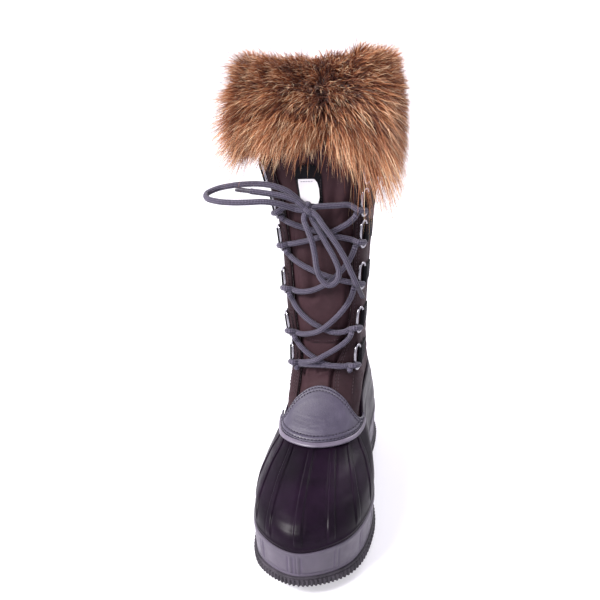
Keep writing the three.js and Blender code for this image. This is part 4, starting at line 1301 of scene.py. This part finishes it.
def tongue_outer(turn, level):
    side = np.where(turn < 0, -1, 1)
    edge_turn = np.where(side > 0, throat_turn(level, 1), throat_turn(level, -1))
    share = smooth(0.55, 0.97, np.abs(turn) / edge_turn)
    return shaft_outer(level) - (SHAFT_WALL + 1.0) * share


TONGUE_FOLDS = [
    ([(-0.012, 9.6), (-0.020, 8.8), (-0.026, 7.6)], 3.4, 1.5),
    ([(0.060, 11.2), (0.050, 10.3), (0.040, 9.5)], 3.2, 1.6),
    ([(-0.070, 9.9), (-0.074, 8.8), (-0.070, 7.6)], 2.4, 1.0),
    ([(0.078, 9.2), (0.083, 8.4), (0.078, 7.6)], 2.2, 1.0),
    ([(0.030, 5.95), (0.018, 5.6), (-0.010, 5.45)], 2.2, 1.2),
    ([(-0.075, 6.2), (-0.062, 5.8), (-0.070, 5.3)], 2.0, 1.4),
    ([(0.045, 6.9), (0.015, 6.75), (-0.02, 6.8)], 2.6, 0.7),
]
tongue_levels = np.concatenate([np.linspace(4.12, 7.0, 70), np.linspace(7.1, 11.75, 60)])
span = np.linspace(0, 1, 85)
left_edge = -(throat_turn(tongue_levels, -1) + TONGUE_TUCK)
right_edge = throat_turn(tongue_levels, 1) + TONGUE_TUCK
turns = left_edge[None] + (right_edge - left_edge)[None] * span[:, None]
level_grid = np.broadcast_to(tongue_levels, turns.shape)
relief = fold_relief(turns, level_grid, TONGUE_FOLDS, (300.0, 30.0))
seam = level_grid - (6.36 + 18 * (turns - 0.004) ** 2)
relief -= 0.55 * bell(seam * 30, 0.55)
relief += 0.45 * smooth(0, 0.05, seam) * (1 - smooth(0.08, 0.5, seam))
relief += 0.3 * noise2(turns * 300, level_grid * 30, 33, 0.09)
base_offset = tongue_outer(turns, level_grid)
shade = np.clip(0.85 * bell(seam * 30, 0.5), 0, 1)
flap = Build()
flap.wall(on_form(turns, level_grid, base_offset + relief * smooth(4.3, 4.9, level_grid)),
          on_form(turns, level_grid, base_offset - 2.6), inner_mark=1, tone=shade)
line = np.linspace(-0.075, 0.06, 60)
at = 6.36 + 18 * (line - 0.004) ** 2 + 0.07
p, n, _, _ = form_frame(line, at)
stitch_line(flap, p + n * (tongue_outer(line, at)[:, None] + 0.45), n, 2.6, 1.7, 0.26, 2)
flap.make("tongue_flap", [TONGUE, FLEECE, BROWN_THREAD], "shaft_fabric", ["tongue"])


def tongue_patch(outline, lift, thick, bend):
    """A small flat piece on the tongue: rows of height, left turn and right turn."""
    heights = np.array([row[0] for row in outline], float)
    fine = np.linspace(heights[0], heights[-1], 28)
    left = np.interp(fine, heights, [row[1] for row in outline])
    right = np.interp(fine, heights, [row[2] for row in outline])
    share = np.linspace(0, 1, 26)
    turns = left[None] + (right - left)[None] * share[:, None]
    level_grid = np.broadcast_to(level_at(fine), turns.shape)
    gap_ends = np.minimum(fine - fine[0], fine[-1] - fine)[None]
    gap = np.minimum(np.minimum(share, 1 - share)[:, None] * 15, gap_ends)
    rounded = np.maximum(0.15, np.sqrt(np.clip(1 - (1 - np.minimum(1, gap / 0.5)) ** 2, 0, 1)))
    raise_ = bend(share[:, None], (fine - fine[0])[None] / (fine[-1] - fine[0]))
    base = tongue_outer(turns, level_grid)
    build = Build()
    build.wall(on_form(turns, level_grid, base + lift + thick / 2 + thick / 2 * rounded + raise_),
               on_form(turns, level_grid, base + lift + thick / 2 - thick / 2 * rounded + raise_))
    return build


keeper = tongue_patch(
    [(280, -0.040, 0.018), (304, -0.040, 0.018), (309, -0.036, 0.014), (312.5, -0.029, 0.007),
     (314, -0.020, -0.002)], 0.5, 1.2, lambda a, b: 0.5 * np.sin(math.pi * a))
for t in (-0.0375, 0.0155):
    p, n, _, _ = form_frame(np.full(20, t), level_at(np.linspace(282, 303, 20)))
    stitch_line(keeper, p + n * 1.75, n, 2.4, 1.6, 0.26, 1)
keeper.make("keeper_webbing", [WEBBING, BROWN_THREAD], "webbing_black", ["tongue_keeper"])
tag = tongue_patch(
    [(281, -0.0335, 0.0085), (286, -0.034, 0.0125), (294, -0.034, 0.012), (299, -0.034, 0.009),
     (302, -0.033, 0.003)], 2.1, 0.6,
    lambda a, b: 1.6 * smooth(0.6, 1, a) * (0.3 + 0.7 * smooth(0.5, 0, b)) + 0.4 * np.sin(math.pi * b))
p, n, _, _ = form_frame(np.linspace(-0.030, 0.002, 20), level_at(np.full(20, 300.0)))
stitch_line(tag, p + n * 3.2, n, 2.2, 1.5, 0.22, 1)
tag.make("label_blank", [LABEL, PALE_THREAD], "label_cloth", ["tongue_label"])

# ---------------------------------------------------------------- fur cuff


def fur_reach(turn):
    return 18 + 3 * np.cos(4 * math.pi * turn)


def fur_surface(turn, share):
    """The cuff's backing, from its lower edge outside, over the top and into the collar."""
    foot = 327 + 5 * np.cos(2 * math.pi * turn)
    reach = fur_reach(turn)
    stations = np.array((0.0, 0.12, 0.35, 0.6, 0.78, 0.9, 1.0))
    zero = 0 * turn
    heights = np.stack([foot + 5, foot + 12, zero + 352, zero + 372, zero + 387, zero + 389, zero + 385])
    offsets = np.stack([zero + 1.2, 0.35 * reach, 0.5 * reach, 0.45 * reach, 0.2 * reach, zero - 3.5,
                        zero - 6])
    k = np.clip(np.searchsorted(stations, share, side="right") - 1, 0, len(stations) - 2)
    w = (share - stations[k]) / (stations[k + 1] - stations[k])
    rows = np.arange(len(turn))
    height = heights[k, rows] * (1 - w) + heights[k + 1, rows] * w
    offset = offsets[k, rows] * (1 - w) + offsets[k + 1, rows] * w
    point, normal, _, _ = form_frame(turn, np.minimum(HEM_LEVEL, level_at(height)))
    out = unit(normal * (1, 1, 0))
    p = point + out * offset[:, None]
    p[:, 2] = height
    return p, out


def backing():
    turn = np.linspace(0, 1, 121)[:-1]
    shares = np.linspace(0, 1, 30)
    rows = [fur_surface(turn, np.full(len(turn), share))[0] for share in shares]
    build = Build()
    build.grid(np.stack(rows, 1), around=True, tone=0.12)
    return build


backing().make("fur_backing", FUR, "faux_fur", ["fur_cuff"])


# How strongly the hairs of one lock lean the same way.
LOCK_STRENGTH = 0.3
# Width of a hair from root to tip, as a share of its own width.
HAIR_TAPER = np.array((1.0, 0.95, 0.8, 0.55, 0.0))
HAIR_LIMITS = [(0, -103.0, 80.0), (1, -60.0, 173.0), (2, 250.0, 420.0)]


def hairs(name, count, seed, length, width, droop, material, shade, spread=0.35, zone=None):
    """Strands as thin ribbons that leave the backing, turn down under their weight and meet in locks."""
    rng = np.random.default_rng(seed)
    turn = rng.random(count)
    share = rng.beta(1.05, 1.0, count)
    if zone is not None:
        turn, share = zone(rng, count)
    root, out = fur_surface(turn, share)
    up = np.array((0.0, 0.0, 1.0))
    rise = -0.55 + 1.75 * smooth(0.25, 0.85, share)
    side_turn = np.where(turn > 0.5, turn - 1, turn)
    _, _, round_, _ = form_frame(turn, np.full(count, 11.5))
    # Hair parts at the front of the cuff and sweeps round both ways from there.
    sweep = 0.55 * np.sign(side_turn - 0.03) * bell((np.abs(side_turn - 0.03) - 0.07) / 0.1, 1)
    inward = 1 - 1.9 * smooth(0.82, 1.0, share)
    lock = np.floor(turn * 190) * 37.0 + np.floor(share * 17) * 101.0
    wander = np.stack([np.sin(lock * 1.7 + k * 2.1) for k in range(3)], -1)
    direction = out * inward[:, None] + up * rise[:, None] + round_ * sweep[:, None]
    direction = unit(direction + wander * LOCK_STRENGTH + rng.normal(0, spread, (count, 3)))
    reach = length * rng.uniform(0.65, 1.2, count) * (0.85 + 0.15 * np.sin(lock))
    down = droop * rng.uniform(0.6, 1.3, count)
    hang = smooth(0.02, 0.09, side_turn) * (1 - smooth(0.16, 0.24, side_turn))
    hang = hang * (1 - smooth(0.25, 0.6, share))
    lobes = bell(side_turn + 0.14, 0.09) + bell(side_turn - 0.13, 0.08)
    reach = reach * (1 + 0.95 * hang) * (1 + 0.2 * lobes - 0.3 * bell(side_turn - 0.01, 0.03))
    tufts = sum(np.sin(waves * 2 * math.pi * turn + start) for waves, start in ((5, 1.1), (8, 2.7), (13, 0)))
    reach = reach * (1 + 0.09 * tufts) * (1 - 0.34 * bell(share - 0.7, 0.13))
    down = down * (1 + 1.2 * hang)
    segments = len(HAIR_TAPER) - 1
    t = np.linspace(0, 1, segments + 1)
    line = root[:, None] + direction[:, None] * (reach[:, None] * t[None])[..., None]
    line[..., 2] -= down[:, None] * reach[:, None] * 0.5 * t[None] ** 2
    curl = rng.uniform(0, 6.28, count)[:, None] + t[None] * rng.uniform(1.5, 4.0, count)[:, None]
    line += round_[:, None] * (0.09 * reach[:, None] * t[None] * np.sin(curl))[..., None]
    # A strand that would pass the cuff's outer limits is shortened about its root.
    keep = np.ones(count)
    for axis, low_side, high_side in HAIR_LIMITS:
        grown = line[..., axis] - root[:, None, axis]
        own_limit = rng.uniform(0, 15, count)[:, None]
        room = np.where(grown > 0, np.maximum(2, high_side - own_limit - root[:, None, axis]),
                        np.minimum(-2, low_side + own_limit - root[:, None, axis]))
        share_kept = np.where(np.abs(grown) > 1e-6, room / np.where(np.abs(grown) > 1e-6, grown, 1), 1)
        keep = np.minimum(keep, np.clip(share_kept, 0.15, 1).min(1))
    line = root[:, None] + (line - root[:, None]) * keep[:, None, None]
    tangent = unit(np.gradient(line, axis=1))
    flat = unit(np.cross(tangent, out[:, None] + rng.normal(0, 0.45, (count, 1, 3))))
    w = width * rng.uniform(0.7, 1.25, count)[:, None] * HAIR_TAPER[None]
    a, b = line + flat * w[..., None] / 2, line - flat * w[..., None] / 2
    points = np.concatenate([np.stack([a[:, :-1], b[:, :-1]], 2).reshape(count, -1, 3), line[:, -1:]], 1)
    per = points.shape[1]
    start = np.arange(count)[:, None] * per
    quads = np.array([(2 * k, 2 * k + 1, 2 * k + 3, 2 * k + 2) for k in range(segments - 1)])
    tip = np.array([(2 * segments - 2, 2 * segments - 1, 2 * segments)])
    own = rng.normal(0, 0.11, count) + 0.2 * np.sin(lock * 0.7)
    low, high = shade
    tone = low + (high - low) * t[None] ** 1.1 + own[:, None] * (0.3 + 0.7 * t[None])
    tone = np.clip(tone, 0, 1)
    tones = np.concatenate([np.repeat(tone[:, :-1], 2, axis=1), tone[:, -1:]], 1)
    build = Build()
    faces = [(start[..., None] + shape[None]).reshape(-1, shape.shape[1]) for shape in (quads, tip)]
    build.add(points.reshape(-1, 3), faces, tone=tones.ravel())
    return build.make(name, material, "faux_fur")


def guard_zone(rng, count):
    return rng.random(count), rng.uniform(0.1, 0.85, count)


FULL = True
hairs("fur_under", 26000 if FULL else 9000, 101, 17, 0.55, 0.5, FUR, (0.0, 0.5))
hairs("fur_middle", 26000 if FULL else 9000, 202, 25, 0.5, 0.6, FUR, (0.02, 0.82))
hairs("fur_long", 20000 if FULL else 7000, 303, 31, 0.42, 0.75, FUR, (0.02, 1.12), spread=0.28)
hairs("fur_guard", 1500, 404, 40, 0.28, 0.7, GUARD, (0.2, 1.0), spread=0.4, zone=guard_zone)

# ---------------------------------------------------------------- stage and light
sweep = Build()
bend = np.linspace(0, math.pi / 2, 16)
reach = np.concatenate([[1.0], 2400 + 1200 * np.sin(bend), [3600.0]])
climb = np.concatenate([[0.0], 1200 - 1200 * np.cos(bend), [7000.0]])
about = np.linspace(0, 2 * math.pi, 65)[:-1, None]
paper_rows = np.stack([reach * np.cos(about), reach * np.sin(about), climb + 0 * about], -1) - ORIGIN
paper = Shader("paper_white", (0.5, 0.49, 0.53), 0.8)
paper.set("Specular IOR Level", 0.1)
paper.set("Emission Color", (0.98, 0.965, 1.0, 1))
paper.color(paper.mix(paper.spread(paper.noise(3, 2), 0.3, 0.7), (0.49, 0.48, 0.52), (0.51, 0.5, 0.535)))
depth = paper.node("ShaderNodeSeparateXYZ", Vector=paper.place).outputs[1]
paper.feed(paper.main.inputs["Emission Strength"], paper.spread(depth, -1.2, 1.6, 0.3, 0.8))
sweep.grid(paper_rows, around=True)
floor = sweep.make("floor", paper.material, None)

world = bpy.data.worlds.new("studio")
bpy.context.scene.world = world
world.use_nodes = True
world.node_tree.nodes["Background"].inputs["Color"].default_value = (0.97, 0.97, 1.0, 1)
world.node_tree.nodes["Background"].inputs["Strength"].default_value = 0.42


def area_light(name, place, target, size, power, color=(1, 1, 1)):
    data = bpy.data.lights.new(name, "AREA")
    data.shape = "RECTANGLE"
    data.size, data.size_y = size
    data.energy = power
    data.color = color
    light = bpy.data.objects.new(name, data)
    light.location = place
    direction = np.array(target) - np.array(place)
    light.rotation_euler = Vector(direction).to_track_quat("-Z", "Y").to_euler()
    bpy.context.scene.collection.objects.link(light)
    return light


area_light("key", (-0.9, -0.9, 1.3), (0, 0, 0.2), (0.6, 0.6), 62, (1.0, 0.98, 0.96))
area_light("fill", (0.9, -1.3, 0.7), (0, 0, 0.2), (1.0, 1.0), 1.5)
area_light("back", (0.3, 1.2, 1.2), (0, 0, 0.3), (1.2, 0.8), 16)
bpy.context.scene.view_settings.view_transform = "Standard"
